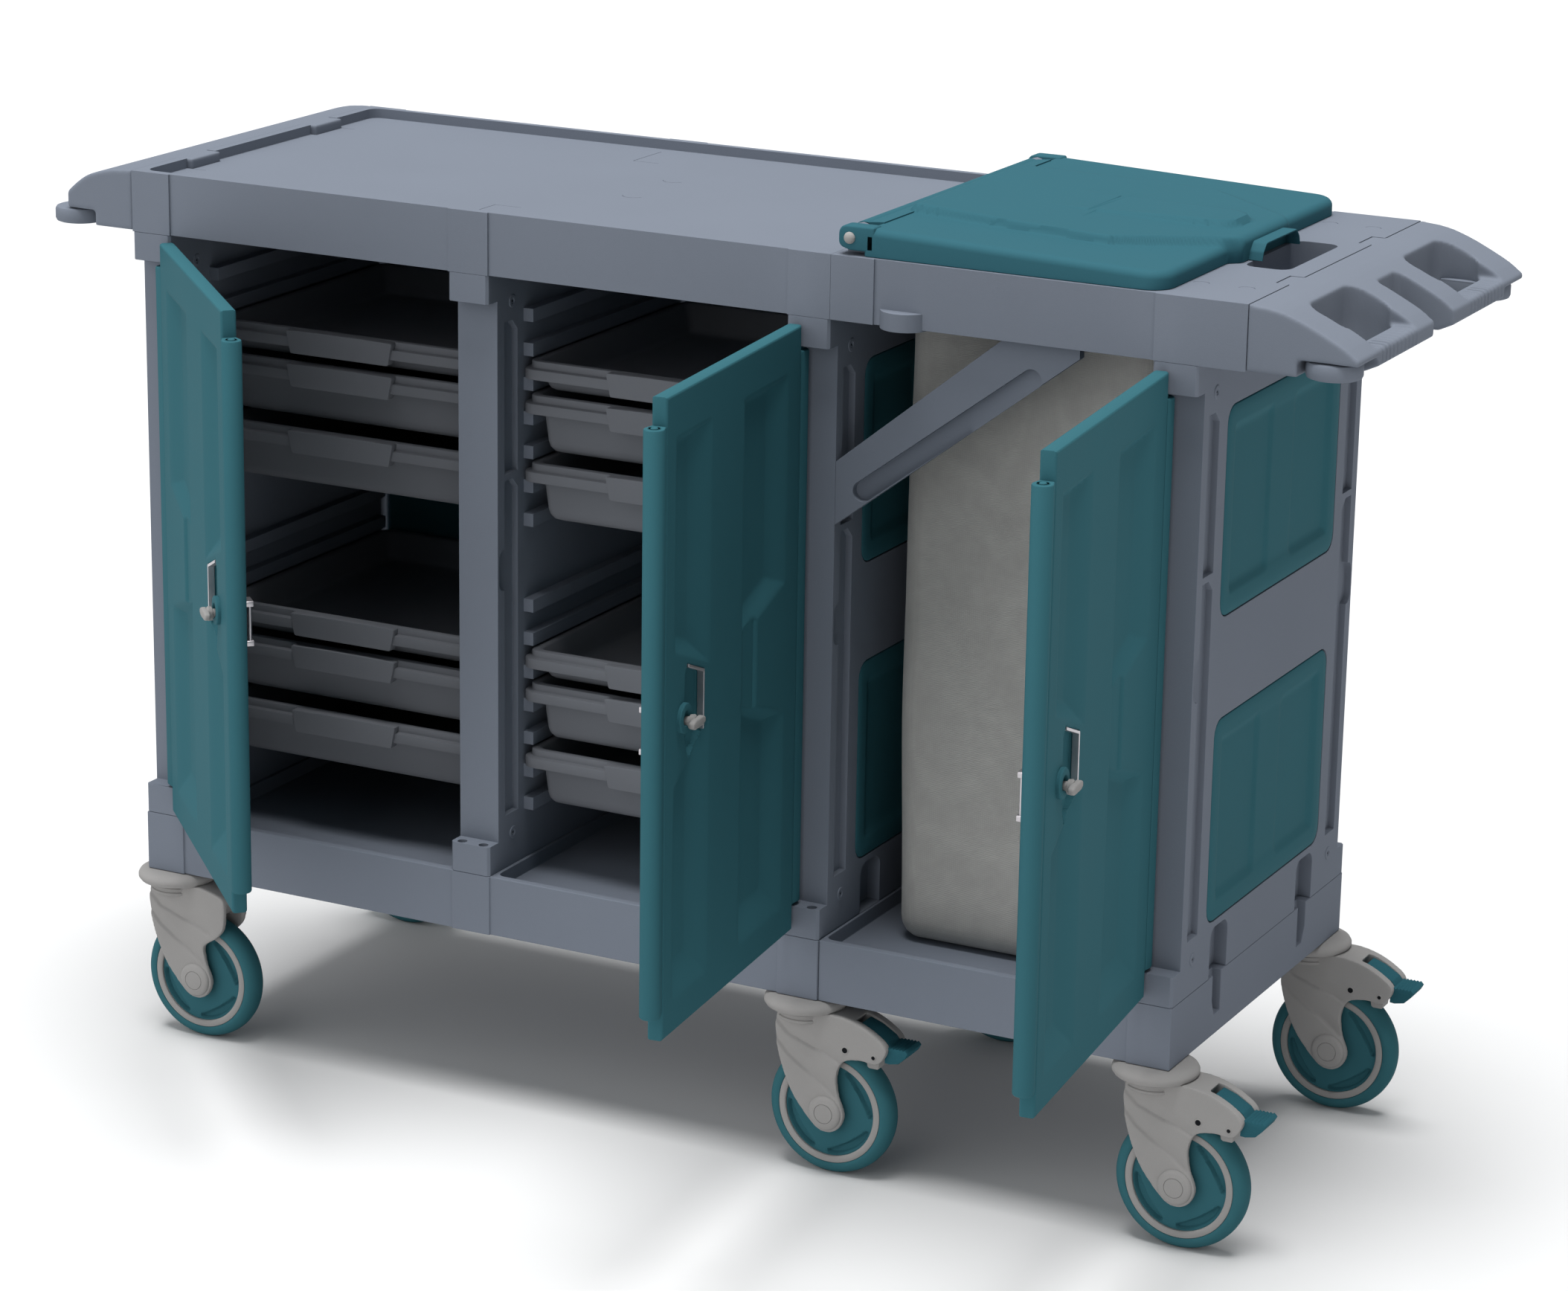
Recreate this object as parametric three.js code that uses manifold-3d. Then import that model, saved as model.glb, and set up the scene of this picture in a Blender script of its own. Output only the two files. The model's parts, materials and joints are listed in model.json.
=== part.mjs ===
// A six-wheeled housekeeping cart: two bays of sliding trays behind doors, a bag bay with a lid,
// a recessed deck and a push handle. Millimetres, +Z up, +X towards the handle, -Y the door side.
import * as THREE from "three";
import { mergeVertices } from "three/addons/utils/BufferGeometryUtils.js";
import Module from "manifold-3d";

const wasm = await Module();
wasm.setup();

// Plan of the cart. x = 0 is the left end of the deck, y = 0 the front face, z = 0 the floor.
const PITCH = 443.25;
const BLOCK = 53.5;
const DEPTH = 534;
const MID_Y = DEPTH / 2;
const DECK_END = 2 * PITCH + BLOCK;
const FRAME_END = 3 * PITCH + 2 * BLOCK;
const POST_END = 3 * PITCH + BLOCK;
const GAP = 0.3;

// Levels above the floor.
const DECK_TOP = 1102.5;
const RAIL_BOTTOM = 1028.5;
const CAP_BOTTOM = 994;
const FOOT_TOP = 330;
const BASE_TOP = 293;
const BASE_BOTTOM = 218.5;

// Posts and panels.
const POST_SETBACK = 22;
const CORNER_CUT = 3;
const INSERT_DEPTH = 6;
const INSERT_CORNER = 20;
const INSERT_Y = [92.5, 441.5];
const INSERT_Z = [[361, 604], [722, 965]];
const GROOVE_Y = [38, 68];
const GROOVE_Z = [360, 966];
const GROOVE_DEPTH = 8;
const WEB_Z = [775, 783];
const SCALLOP_Z = [641, 692];
const POCKET_Y = [108, 160];
const POCKET_TOP = 353;
const POCKET_DEPTH = 16;
const LEDGE_Y = [82, 456];
const LEDGE_OUT = 13;
const LEDGE_HEIGHT = 16;
const LEDGE_STEP = 41.5;
const LEDGE_COUNT = 7;
const LEDGE_TOPS = [976, 621];

const BACK_Y = 484;

// Trays.
const TRAY_ROWS = [2, 3, 5];
const TRAY_Y = [70, 470];
const TRAY_RIM = 22;
const TRAY_BODY_DROP = 51;
const TRAY_SHALLOW_DROP = 17;
const TRAY_INSET = 18;
const TRAY_WALL = 3.5;

// Doors, drawn closed: u runs from the hinge pin to the free edge, v into the bay, w up.
const PIN_INSET = 12;
const PIN_Y = 7;
const DOOR_HALF = 9;
const DOOR_Z = [303, 1020];
const STRIP_Z = [CAP_BOTTOM - 5, FOOT_TOP + 4];
const STRIP_RADIUS = 12;
const PIN_RADIUS = 5;
const PIN_HOLE_RADIUS = 6;
const DOOR_SPAN = PITCH - BLOCK + 2 * PIN_INSET;
const DOOR_START = 13.5;
const KNOB_U = 345;
const KNOB_Z = 652;
const DOORS = [
  { side: "left", block: 0, hand: 1, angle: 45 },
  { side: "mid", block: 2, hand: -1, angle: 96 },
  { side: "right", block: 3, hand: -1, angle: 96 },
];

// Casters.
const WHEEL_RADIUS = 80.5;
const WHEEL_SIDES = 20;
const WHEEL_HALF = 15.5;
const TRAIL = 39;
const FORK_HALF = 26;
const CASTER_Y = [27, DEPTH - 27];
const CASTER_X = [BLOCK / 2, 2 * PITCH + BLOCK / 2, 3 * PITCH + BLOCK / 2];
const CASTERS = [
  { place: "front_left", x: CASTER_X[0], y: CASTER_Y[0], brake: false },
  { place: "rear_left", x: CASTER_X[0], y: CASTER_Y[1], brake: false },
  { place: "front_mid", x: CASTER_X[1], y: CASTER_Y[0], brake: true },
  { place: "rear_mid", x: CASTER_X[1], y: CASTER_Y[1], brake: false },
  { place: "front_right", x: CASTER_X[2], y: CASTER_Y[0], brake: true },
  { place: "rear_right", x: CASTER_X[2], y: CASTER_Y[1], brake: true },
];

// Corner rollers of the end bar and the console.
const ROLLER_RADIUS = 31;
const ROLLER_BORE = 6.8;
const ROLLER_Z = [1028, 1046.5];
const ROLLER_INSET = 28;
const BAR_ROLLER_X = -95;
const CONSOLE_ROLLER_X = 1527;
const BAR_WALL_X = -55;
const CONSOLE_WALL_X = 1494.5;

// Lid hinge.
const LID_PIN = { x: 960, z: 1122 };
const LID_BARREL = 13;

const finish = (color, roughness, metalness = 0) =>
  new THREE.MeshStandardMaterial({ color, roughness, metalness });
const greyPlastic = finish(0x969ea9, 0.55);
const trayPlastic = finish(0x8d9197, 0.5);
const tealPlastic = finish(0x33707a, 0.5);
const lidPlastic = finish(0x3f7884, 0.45);
const casterPlastic = finish(0xa9a8ab, 0.5);
const tyreRubber = finish(0x4b7f86, 0.8);
const bagFabric = finish(0x8b8885, 0.95);

// ---- Solids ------------------------------------------------------------------------------------

// A closed three.js geometry as a solid that can be cut and joined.
function solid(geometry) {
  const bare = geometry.clone();
  bare.deleteAttribute("normal");
  bare.deleteAttribute("uv");
  const merged = mergeVertices(bare, 1e-3);
  const corners = [];
  const index = merged.index.array;
  for (let i = 0; i < index.length; i += 3) {
    const [a, b, c] = index.slice(i, i + 3);
    if (a !== b && b !== c && a !== c) corners.push(a, b, c);
  }
  const vertProperties = merged.attributes.position.array;
  const made = new wasm.Manifold(
    new wasm.Mesh({ numProp: 3, vertProperties, triVerts: new Uint32Array(corners) }),
  );
  if (made.volume() > 0) return made;
  corners.reverse();
  return new wasm.Manifold(
    new wasm.Mesh({ numProp: 3, vertProperties, triVerts: new Uint32Array(corners) }),
  );
}

const join = (...bodies) => bodies.reduce((all, body) => all.add(body));
const cut = (body, ...tools) => tools.reduce((left, tool) => left.subtract(tool), body);

function box(x0, x1, y0, y1, z0, z1) {
  const block = new THREE.BoxGeometry(x1 - x0, y1 - y0, z1 - z0);
  return solid(block.translate((x0 + x1) / 2, (y0 + y1) / 2, (z0 + z1) / 2));
}

const AXES = {
  x: [new THREE.Vector3(0, 1, 0), new THREE.Vector3(0, 0, 1), new THREE.Vector3(1, 0, 0)],
  y: [new THREE.Vector3(1, 0, 0), new THREE.Vector3(0, 0, 1), new THREE.Vector3(0, -1, 0)],
  z: [new THREE.Vector3(1, 0, 0), new THREE.Vector3(0, 1, 0), new THREE.Vector3(0, 0, 1)],
};

// An outline pushed along an axis: it lies in the (y, z), (x, z) or (x, y) plane.
function prism(outline, axis, low, high, curveSegments = 2) {
  const depth = high - low;
  const raw = new THREE.ExtrudeGeometry(outline, { depth, bevelEnabled: false, curveSegments });
  const [a, b, c] = AXES[axis];
  const start = axis === "y" ? high : low;
  const place = new THREE.Matrix4().makeBasis(a, b, c);
  place.setPosition(Math.abs(c.x) * start, Math.abs(c.y) * start, Math.abs(c.z) * start);
  return solid(raw.applyMatrix4(place));
}

const pointsOf = (pairs) => pairs.map(([a, b]) => new THREE.Vector2(a, b));
const outlineOf = (pairs) => new THREE.Shape(pointsOf(pairs));

function roundRect(a0, a1, b0, b1, r) {
  const shape = new THREE.Shape();
  shape.absarc(a1 - r, b0 + r, r, -Math.PI / 2, 0);
  shape.absarc(a1 - r, b1 - r, r, 0, Math.PI / 2);
  shape.absarc(a0 + r, b1 - r, r, Math.PI / 2, Math.PI);
  shape.absarc(a0 + r, b0 + r, r, Math.PI, 1.5 * Math.PI);
  return shape;
}

// A solid of revolution. profile holds [radius, place along the axis] pairs.
function turned(profile, axis, centre, sides) {
  const raw = new THREE.LatheGeometry(pointsOf(profile), sides);
  if (axis === "z") raw.rotateX(Math.PI / 2);
  if (axis === "x") raw.rotateZ(-Math.PI / 2);
  return solid(raw.translate(...centre));
}

function rod(axis, centre, radius, low, high, sides = 12) {
  return turned([[0, low], [radius, low], [radius, high], [0, high]], axis, centre, sides);
}

// Mirrors a solid front to rear, about the middle of the cart.
const rearOf = (body) => body.mirror([0, 1, 0]).translate([0, DEPTH, 0]);
const bothSides = (body) => join(body, rearOf(body));

function meshOf(name, body, material) {
  const made = body.getMesh();
  const geometry = new THREE.BufferGeometry();
  geometry.setAttribute("position", new THREE.BufferAttribute(made.vertProperties, 3));
  geometry.setIndex(new THREE.BufferAttribute(made.triVerts, 1));
  geometry.computeVertexNormals();
  const mesh = new THREE.Mesh(geometry, material);
  mesh.name = name;
  return mesh;
}

// ---- Side panels and what they carry -----------------------------------------------------------

const cart = new THREE.Group();

// The pin holes that the door pins turn in, in the cap and foot of a block.
function pinHoles(x) {
  const top = rod("z", [x, PIN_Y, 0], PIN_HOLE_RADIUS, CAP_BOTTOM - 1, CAP_BOTTOM + 14);
  const bottom = rod("z", [x, PIN_Y, 0], PIN_HOLE_RADIUS, FOOT_TOP - 14, FOOT_TOP + 1);
  return join(top, bottom);
}

// Cap or foot of a panel: full depth, its upright corners cut off.
function blockSlab(x, z0, z1) {
  const c = CORNER_CUT;
  const outline = outlineOf([
    [x + c, 0], [x + BLOCK - c, 0], [x + BLOCK, c], [x + BLOCK, DEPTH - c],
    [x + BLOCK - c, DEPTH], [x + c, DEPTH], [x, DEPTH - c], [x, c],
  ]);
  return prism(outline, "z", z0, z1);
}

// Runners on a bay wall; toward is +1 when the bay lies at larger x.
function ledges(face, toward) {
  const out = [face, face + toward * LEDGE_OUT].sort((a, b) => a - b);
  const all = [];
  for (const top of LEDGE_TOPS) {
    for (let k = 0; k < LEDGE_COUNT; k++) {
      const z = top - k * LEDGE_STEP;
      all.push(box(out[0], out[1], LEDGE_Y[0], LEDGE_Y[1], z - LEDGE_HEIGHT, z));
    }
  }
  return all;
}

// Seats for the two inserts in a panel face; inward is the direction into the panel.
function insertSeats(face, inward) {
  const across = [face - inward, face + inward * INSERT_DEPTH].sort((a, b) => a - b);
  return INSERT_Z.map(([z0, z1]) =>
    prism(roundRect(INSERT_Y[0], INSERT_Y[1], z0, z1, INSERT_CORNER), "x", across[0], across[1]),
  );
}

// The moulded grooves beside both edges of a panel face, with a gusset web and a scallop.
function edgeGrooves(face, inward) {
  const across = [face - inward, face + inward * GROOVE_DEPTH].sort((a, b) => a - b);
  const [y0, y1] = GROOVE_Y;
  const [webLow, webHigh] = WEB_Z;
  const slant = 12;
  const run = (z0, z1) => outlineOf([
    [y0, z0], [y1, z0], [y1, z1 - slant], [y1 - slant, z1], [y0, z1],
  ]);
  const scallop = roundRect(y0 - 13, y1 - 2, SCALLOP_Z[0], SCALLOP_Z[1], 12);
  return bothSides(join(
    prism(run(GROOVE_Z[0], webLow), "x", across[0], across[1]),
    prism(run(webHigh, GROOVE_Z[1]), "x", across[0], across[1]),
    prism(scallop, "x", across[0], across[1]),
  ));
}

// The pockets at the foot of a face that has no runners.
function footPockets(face, inward) {
  const deep = [face - inward, face + inward * POCKET_DEPTH].sort((a, b) => a - b);
  const pocket = roundRect(POCKET_Y[0], POCKET_Y[1], BASE_TOP - 20, POCKET_TOP, 14);
  return bothSides(prism(pocket, "x", deep[0], deep[1]));
}

// Runners go on the faces named by leftBay and rightBay, foot pockets and inserts on plain faces.
function sidePanel(name, block, { leftBay, rightBay, plain, pins }) {
  const x = block * PITCH;
  const face = plain < 0 ? x : x + BLOCK;
  let body = join(
    box(x, x + BLOCK, POST_SETBACK, DEPTH - POST_SETBACK, BASE_TOP + GAP, RAIL_BOTTOM - GAP),
    blockSlab(x, BASE_TOP + GAP, FOOT_TOP),
    blockSlab(x, CAP_BOTTOM, RAIL_BOTTOM - GAP),
  );
  if (leftBay) body = join(body, ...ledges(x, -1));
  if (rightBay) body = join(body, ...ledges(x + BLOCK, 1));
  body = cut(body, edgeGrooves(x, 1), edgeGrooves(x + BLOCK, -1));
  if (plain) body = cut(body, footPockets(face, -plain), ...insertSeats(face, -plain));
  for (const inset of pins) body = cut(body, pinHoles(x + inset));
  cart.add(meshOf(name, body, greyPlastic));
}

const BOTH_PINS = [PIN_INSET, BLOCK - PIN_INSET];
sidePanel("side_panel_left", 0, { rightBay: true, plain: -1, pins: [BLOCK - PIN_INSET] });
sidePanel("divider_panel_mid", 1, { leftBay: true, rightBay: true, plain: 0, pins: BOTH_PINS });
sidePanel("divider_panel_bag", 2, { leftBay: true, plain: 1, pins: BOTH_PINS });
sidePanel("side_panel_right", 3, { plain: 1, pins: [PIN_INSET] });

// A pressed-in insert: a plate with a sunk field and a centre rib.
function panelInsert(name, face, outward, [z0, z1]) {
  const g = 2 * GAP;
  const frame = 33;
  const slope = 6;
  const rib = 38;
  const deep = face - outward * 4;
  const ribTop = face - outward * 1.5;
  const above = face + outward;
  const flat = [face - outward * (INSERT_DEPTH - GAP), face].sort((a, b) => a - b);
  const rim = roundRect(INSERT_Y[0] + g, INSERT_Y[1] - g, z0 + g, z1 - g, INSERT_CORNER - g);
  const plate = prism(rim, "x", flat[0], flat[1]);
  const [y0, y1] = [INSERT_Y[0] + frame, INSERT_Y[1] - frame];
  const section = outlineOf([
    [above, y0 - slope / 4], [deep, y0 + slope], [deep, MID_Y - rib - slope],
    [ribTop, MID_Y - rib], [ribTop, MID_Y + rib],
    [deep, MID_Y + rib + slope], [deep, y1 - slope], [above, y1 + slope / 4],
  ]);
  const sunk = prism(section, "z", z0 + frame, z1 - frame);
  cart.add(meshOf(name, cut(plate, sunk), tealPlastic));
}

for (const [row, level] of [["lower", 0], ["upper", 1]]) {
  panelInsert("end_insert_left_" + row, 0, -1, INSERT_Z[level]);
  panelInsert("bag_bay_insert_" + row, DECK_END, 1, INSERT_Z[level]);
  panelInsert("end_insert_right_" + row, POST_END, 1, INSERT_Z[level]);
}

// A back panel closes a bay; its middle field is raised towards the rear.
function backPanel(name, bay) {
  const x0 = bay * PITCH + BLOCK + 1;
  const x1 = (bay + 1) * PITCH - 1;
  const [z0, z1] = [BASE_TOP + 2, RAIL_BOTTOM - 2];
  const plate = box(x0, x1, BACK_Y, BACK_Y + 6, z0, z1);
  const raise = (sides, ends, corner, from, to) => {
    const outline = roundRect(x0 + sides, x1 - sides, z0 + ends, z1 - ends, corner);
    return prism(outline, "y", BACK_Y + from, BACK_Y + to);
  };
  const raised = join(raise(42, 40, 24, 5, 11), raise(150, 88, 16, 10, 14));
  cart.add(meshOf(name, join(plate, raised), tealPlastic));
}

["left", "mid", "bag"].forEach((place, bay) => backPanel("back_panel_" + place, bay));

// ---- Base --------------------------------------------------------------------------------------

const STEM_HOLE_RADIUS = 12.5;
const RAIL_SETBACK = 2.5;
const stemHole = (x, y) =>
  rod("z", [x, y, 0], STEM_HOLE_RADIUS, BASE_BOTTOM - 1, BASE_BOTTOM + 52);

// Clip slots under the foot pockets of an end face.
function clipSlots(face, inward) {
  const deep = [face - inward, face + inward * 12].sort((a, b) => a - b);
  const slot = outlineOf([
    [122, 297], [122, 262], [130, 243], [147, 243], [147, 297],
  ]);
  return bothSides(prism(slot, "x", deep[0], deep[1]));
}

function basePart(name, x0, x1, bays, casters, end) {
  let body = box(x0, x1, 0, DEPTH, BASE_BOTTOM, BASE_TOP);
  for (const bay of bays) {
    const a = bay * PITCH + BLOCK + 4;
    const b = (bay + 1) * PITCH - 4;
    body = cut(
      body,
      prism(roundRect(a, b, 12, DEPTH - 12, 10), "z", BASE_TOP - 18, BASE_TOP + 1),
      prism(roundRect(a + 6, b - 6, 18, DEPTH - 18, 10), "z", BASE_BOTTOM - 1, BASE_TOP - 24),
      bothSides(box(a - 4, b + 4, -1, RAIL_SETBACK, BASE_BOTTOM + 12, BASE_TOP - 10)),
    );
  }
  for (const x of casters) body = cut(body, ...CASTER_Y.map((y) => stemHole(x, y)));
  body = cut(body, clipSlots(...end));
  cart.add(meshOf(name, body, greyPlastic));
}

basePart("base_main", 0, DECK_END - GAP / 2, [0, 1], [CASTER_X[0], CASTER_X[1]], [0, 1]);
basePart("base_bag", DECK_END + GAP / 2, POST_END, [2], [CASTER_X[2]], [POST_END, -1]);

// ---- Deck, end bar and console -----------------------------------------------------------------

const DECK_RIM = 12;
const DECK_DROP = 12;
const HOOK_Y = [100, 160];
const HOOK_REACH = 20;
const HOOK_DROP = 16;

function deckTop() {
  let body = box(0, DECK_END - GAP / 2, 0, DEPTH, RAIL_BOTTOM, DECK_TOP);
  const recess = roundRect(DECK_RIM, DECK_END - DECK_RIM, DECK_RIM, DEPTH - DECK_RIM, 14);
  body = cut(body, prism(recess, "z", DECK_TOP - DECK_DROP, DECK_TOP + 1));
  for (const bay of [0, 1]) {
    const a = bay * PITCH + BLOCK;
    const b = (bay + 1) * PITCH;
    body = cut(
      body,
      prism(roundRect(a + 8, b - 8, 18, DEPTH - 18, 10), "z", RAIL_BOTTOM - 1, DECK_TOP - 20),
      bothSides(box(a, b, -1, RAIL_SETBACK, RAIL_BOTTOM - 1, DECK_TOP + 1)),
    );
  }
  const [h0, h1] = HOOK_Y;
  const seat = box(
    -1, HOOK_REACH + GAP, h0 - GAP, h1 + GAP, DECK_TOP - HOOK_DROP - GAP, DECK_TOP + 1,
  );
  cart.add(meshOf("deck_top", cut(body, bothSides(seat)), greyPlastic));
}
deckTop();

// A roller corner: the shell is cut away under a lip and keeps a pin for the roller.
function rollerCorner(wall, side) {
  const across = [wall, wall + side * 120].sort((a, b) => a - b);
  return bothSides(box(across[0], across[1], -1, ROLLER_INSET + ROLLER_RADIUS + 4, 1000, 1048));
}
const rollerPins = (x) =>
  bothSides(rod("z", [x, ROLLER_INSET, 0], ROLLER_BORE - 0.8, ROLLER_Z[0] + 1, 1049));

function endBar() {
  const outline = new THREE.Shape();
  outline.moveTo(-GAP, RAIL_BOTTOM + 1);
  outline.lineTo(-GAP, DECK_TOP);
  outline.splineThru(pointsOf([[-30, 1100.5], [-64, 1091], [-86, 1076], [-103, 1060]]));
  outline.lineTo(-103, 1042);
  outline.lineTo(-92, RAIL_BOTTOM + 1);
  const plan = outlineOf([
    [0, 0], [0, DEPTH], [-94, DEPTH], [-101, DEPTH - 14], [-103, DEPTH - 40],
    [-103, 40], [-101, 14], [-94, 0],
  ]);
  const shell = prism(outline, "y", 0, DEPTH, 3).intersect(prism(plan, "z", 1000, 1120));
  const under = box(-84, -10, 75, DEPTH - 75, RAIL_BOTTOM - 1, DECK_TOP - 44);
  const hook = box(-1, HOOK_REACH, HOOK_Y[0], HOOK_Y[1], DECK_TOP - HOOK_DROP, DECK_TOP);
  const body = join(
    cut(shell, rollerCorner(BAR_WALL_X, -1), under),
    bothSides(hook),
    rollerPins(BAR_ROLLER_X),
  );
  cart.add(meshOf("left_end_bar", body, greyPlastic));
}
endBar();

const CONSOLE_X = FRAME_END;
const CONSOLE_NOSE = 1564;
const GRIP_X = [1480, 1536];
const GRIP_Y = [55, 190];
const GRIP_BAR_TOP = 1057;
const KEY_X = 1421;
const KEY_Y = [119, 162];

function handleConsole() {
  const outline = new THREE.Shape();
  outline.moveTo(CONSOLE_X + GAP, RAIL_BOTTOM + 1);
  outline.lineTo(1546, RAIL_BOTTOM + 1);
  outline.lineTo(CONSOLE_NOSE, 1038);
  outline.lineTo(CONSOLE_NOSE, 1054);
  outline.splineThru(pointsOf([
    [1546, 1067], [1518.5, 1081], [1495.5, 1091], [1470, 1099], [CONSOLE_X + GAP, DECK_TOP],
  ]));
  const shell = prism(outline, "y", 0, DEPTH, 2);
  const hole = roundRect(GRIP_X[0], GRIP_X[1], GRIP_Y[0], GRIP_Y[1], 22);
  const grip = bothSides(prism(hole, "z", 1000, 1120, 4));
  const dip = bothSides(
    box(GRIP_X[1] - 6, CONSOLE_NOSE + 1, GRIP_Y[0] + 6, GRIP_Y[1] - 6, GRIP_BAR_TOP, 1120),
  );
  const notch = prism(roundRect(1493, 1600, 235, 299, 10), "z", 1000, 1120);
  const key = box(KEY_X, CONSOLE_X + 1, KEY_Y[0], KEY_Y[1], DECK_TOP - HOOK_DROP, DECK_TOP);
  const body = join(
    cut(shell, grip, dip, notch, rollerCorner(CONSOLE_WALL_X, 1)),
    bothSides(key),
    rollerPins(CONSOLE_ROLLER_X),
  );
  cart.add(meshOf("handle_console", body, greyPlastic));
}
handleConsole();

function roller(name, x, y) {
  const [z0, z1] = ROLLER_Z;
  const [bore, r] = [ROLLER_BORE, ROLLER_RADIUS];
  const profile = [[bore, z0], [r, z0], [r, z1], [bore, z1], [bore, z0]];
  cart.add(meshOf(name, turned(profile, "z", [x, y, 0], 24), greyPlastic));
}
roller("bumper_roller_front_left", BAR_ROLLER_X, ROLLER_INSET);
roller("bumper_roller_rear_left", BAR_ROLLER_X, DEPTH - ROLLER_INSET);
roller("bumper_roller_front_right", CONSOLE_ROLLER_X, ROLLER_INSET);
roller("bumper_roller_rear_right", CONSOLE_ROLLER_X, DEPTH - ROLLER_INSET);

// ---- Bag bay: top frame, lid, braces and bag ---------------------------------------------------

const LID_EAR_Y = [6, 26];
const LID_LUG_Y = [26.5, 41.5];
const MOUTH_X = [1004, 1324];

function bagFrameTop() {
  const x0 = DECK_END + GAP / 2;
  let body = box(x0, FRAME_END, 0, DEPTH, RAIL_BOTTOM, DECK_TOP);
  const mouth = prism(roundRect(MOUTH_X[0], MOUTH_X[1], 44, DEPTH - 44, 18), "z", 1000, 1120);
  const relief = roundRect(1340, 1424, 20, DEPTH - 20, 10);
  const under = prism(relief, "z", RAIL_BOTTOM - 1, RAIL_BOTTOM + 18);
  const slot = prism(roundRect(1356, 1409, 185, DEPTH - 185, 14), "z", DECK_TOP - 45, DECK_TOP + 1);
  const rail = box(DECK_END + BLOCK, 3 * PITCH, -1, RAIL_SETBACK, RAIL_BOTTOM - 1, DECK_TOP + 1);
  const key = box(
    KEY_X - GAP, FRAME_END + 1, KEY_Y[0] - GAP, KEY_Y[1] + GAP,
    DECK_TOP - HOOK_DROP - GAP, DECK_TOP + 1,
  );
  body = cut(body, mouth, under, slot, bothSides(rail), bothSides(key));
  const lug = join(
    box(LID_PIN.x - 12, LID_PIN.x + 12, LID_LUG_Y[0], LID_LUG_Y[1], DECK_TOP - 1, LID_PIN.z),
    rod("y", [LID_PIN.x, 0, LID_PIN.z], 12, LID_LUG_Y[0], LID_LUG_Y[1]),
    rod("y", [LID_PIN.x, 0, LID_PIN.z], 5, LID_EAR_Y[0] + 1, LID_LUG_Y[0] + 1),
  );
  const bumper = cut(
    rod("z", [1027, 15, 0], 29, 1026.5, 1047, 24),
    box(900, 1100, 30, 60, 1000, 1100),
  );
  body = join(body, bothSides(lug), bothSides(bumper));
  cart.add(meshOf("bag_frame_top", body, greyPlastic));
}
bagFrameTop();

const LID_X = [993, 1336];
const LID_Y = [6, DEPTH - 6];

function lid() {
  const low = DECK_TOP + GAP;
  const plan = new THREE.Shape();
  const r = 28;
  plan.moveTo(LID_X[0] - 16, LID_Y[0]);
  plan.lineTo(LID_X[1] - r, LID_Y[0]);
  plan.absarc(LID_X[1] - r, LID_Y[0] + r, r, -Math.PI / 2, 0);
  plan.absarc(LID_X[1] - r, LID_Y[1] - r, r, 0, Math.PI / 2);
  plan.lineTo(LID_X[0] - 16, LID_Y[1]);
  const side = (drop) => outlineOf([
    [900, low - 5], [1400, low - 5], [1400, 1119 - drop], [LID_X[1], 1123 - drop],
    [1150, 1134 - drop], [LID_X[0], 1144 - drop], [900, 1144 - drop],
  ]);
  const column = prism(plan, "z", low, 1150);
  const shell = column.intersect(prism(side(0), "y", 0, DEPTH));
  const room = roundRect(LID_X[0] + 4, LID_X[1] - 5, LID_Y[0] + 5, LID_Y[1] - 5, 24);
  const hollow = prism(room, "z", low - 5, 1150).intersect(prism(side(5), "y", 0, DEPTH));
  const [e0, e1] = LID_EAR_Y;
  const ear = join(
    rod("y", [LID_PIN.x, 0, LID_PIN.z], 14, e0, e1),
    box(LID_PIN.x, LID_X[0], e0, e1, LID_PIN.z - 11, LID_PIN.z + 14),
  );
  const [b0, b1] = [LID_LUG_Y[1] + GAP, DEPTH - LID_LUG_Y[1] - GAP];
  const barrel = rod("y", [LID_PIN.x, 0, LID_PIN.z], LID_BARREL, b0, b1);
  const bridge = box(LID_PIN.x, LID_X[0], b0, b1, LID_PIN.z - 11, LID_PIN.z + 11);
  const bore = bothSides(rod("y", [LID_PIN.x, 0, LID_PIN.z], 5.7, e0 - 1, e1 + 1));
  const lip = prism(outlineOf([
    [LID_X[1] - 2, low + 8], [1356, low + 3], [1362, low + 1], [1366, low + 4],
    [1362, low + 12], [1348, low + 19], [LID_X[1] - 2, 1122],
  ]), "y", 200, DEPTH - 200);
  const body = cut(join(cut(shell, hollow), bothSides(ear), barrel, bridge, lip), bore);
  cart.add(meshOf("bag_lid", body, lidPlastic));
}
lid();

// A diagonal brace from the divider up to the frame, with a sunk slot along it.
function braceBody() {
  const outline = outlineOf([
    [DECK_END + GAP, 787], [1235, 1014], [1235, RAIL_BOTTOM - GAP], [1146, RAIL_BOTTOM - GAP],
    [DECK_END + GAP, 861],
  ]);
  const slot = outlineOf([
    [965, 824], [978, 821], [1186, 980], [1191, 993], [1178, 996], [968, 838],
  ]);
  return cut(
    prism(outline, "y", POST_SETBACK, POST_SETBACK + 12),
    prism(slot, "y", POST_SETBACK - 1, POST_SETBACK + 6),
  );
}
cart.add(meshOf("brace_front", braceBody(), greyPlastic));
cart.add(meshOf("brace_rear", rearOf(braceBody()), greyPlastic));

function laundryBag() {
  const outer = prism(roundRect(1002, 1308, 90, 444, 30), "z", BASE_TOP - 16, 1020);
  const inner = prism(roundRect(1010, 1300, 98, 436, 24), "z", BASE_TOP - 8, 1030);
  cart.add(meshOf("laundry_bag", cut(outer, inner), bagFabric));
}
laundryBag();

// ---- Trays -------------------------------------------------------------------------------------

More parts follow.
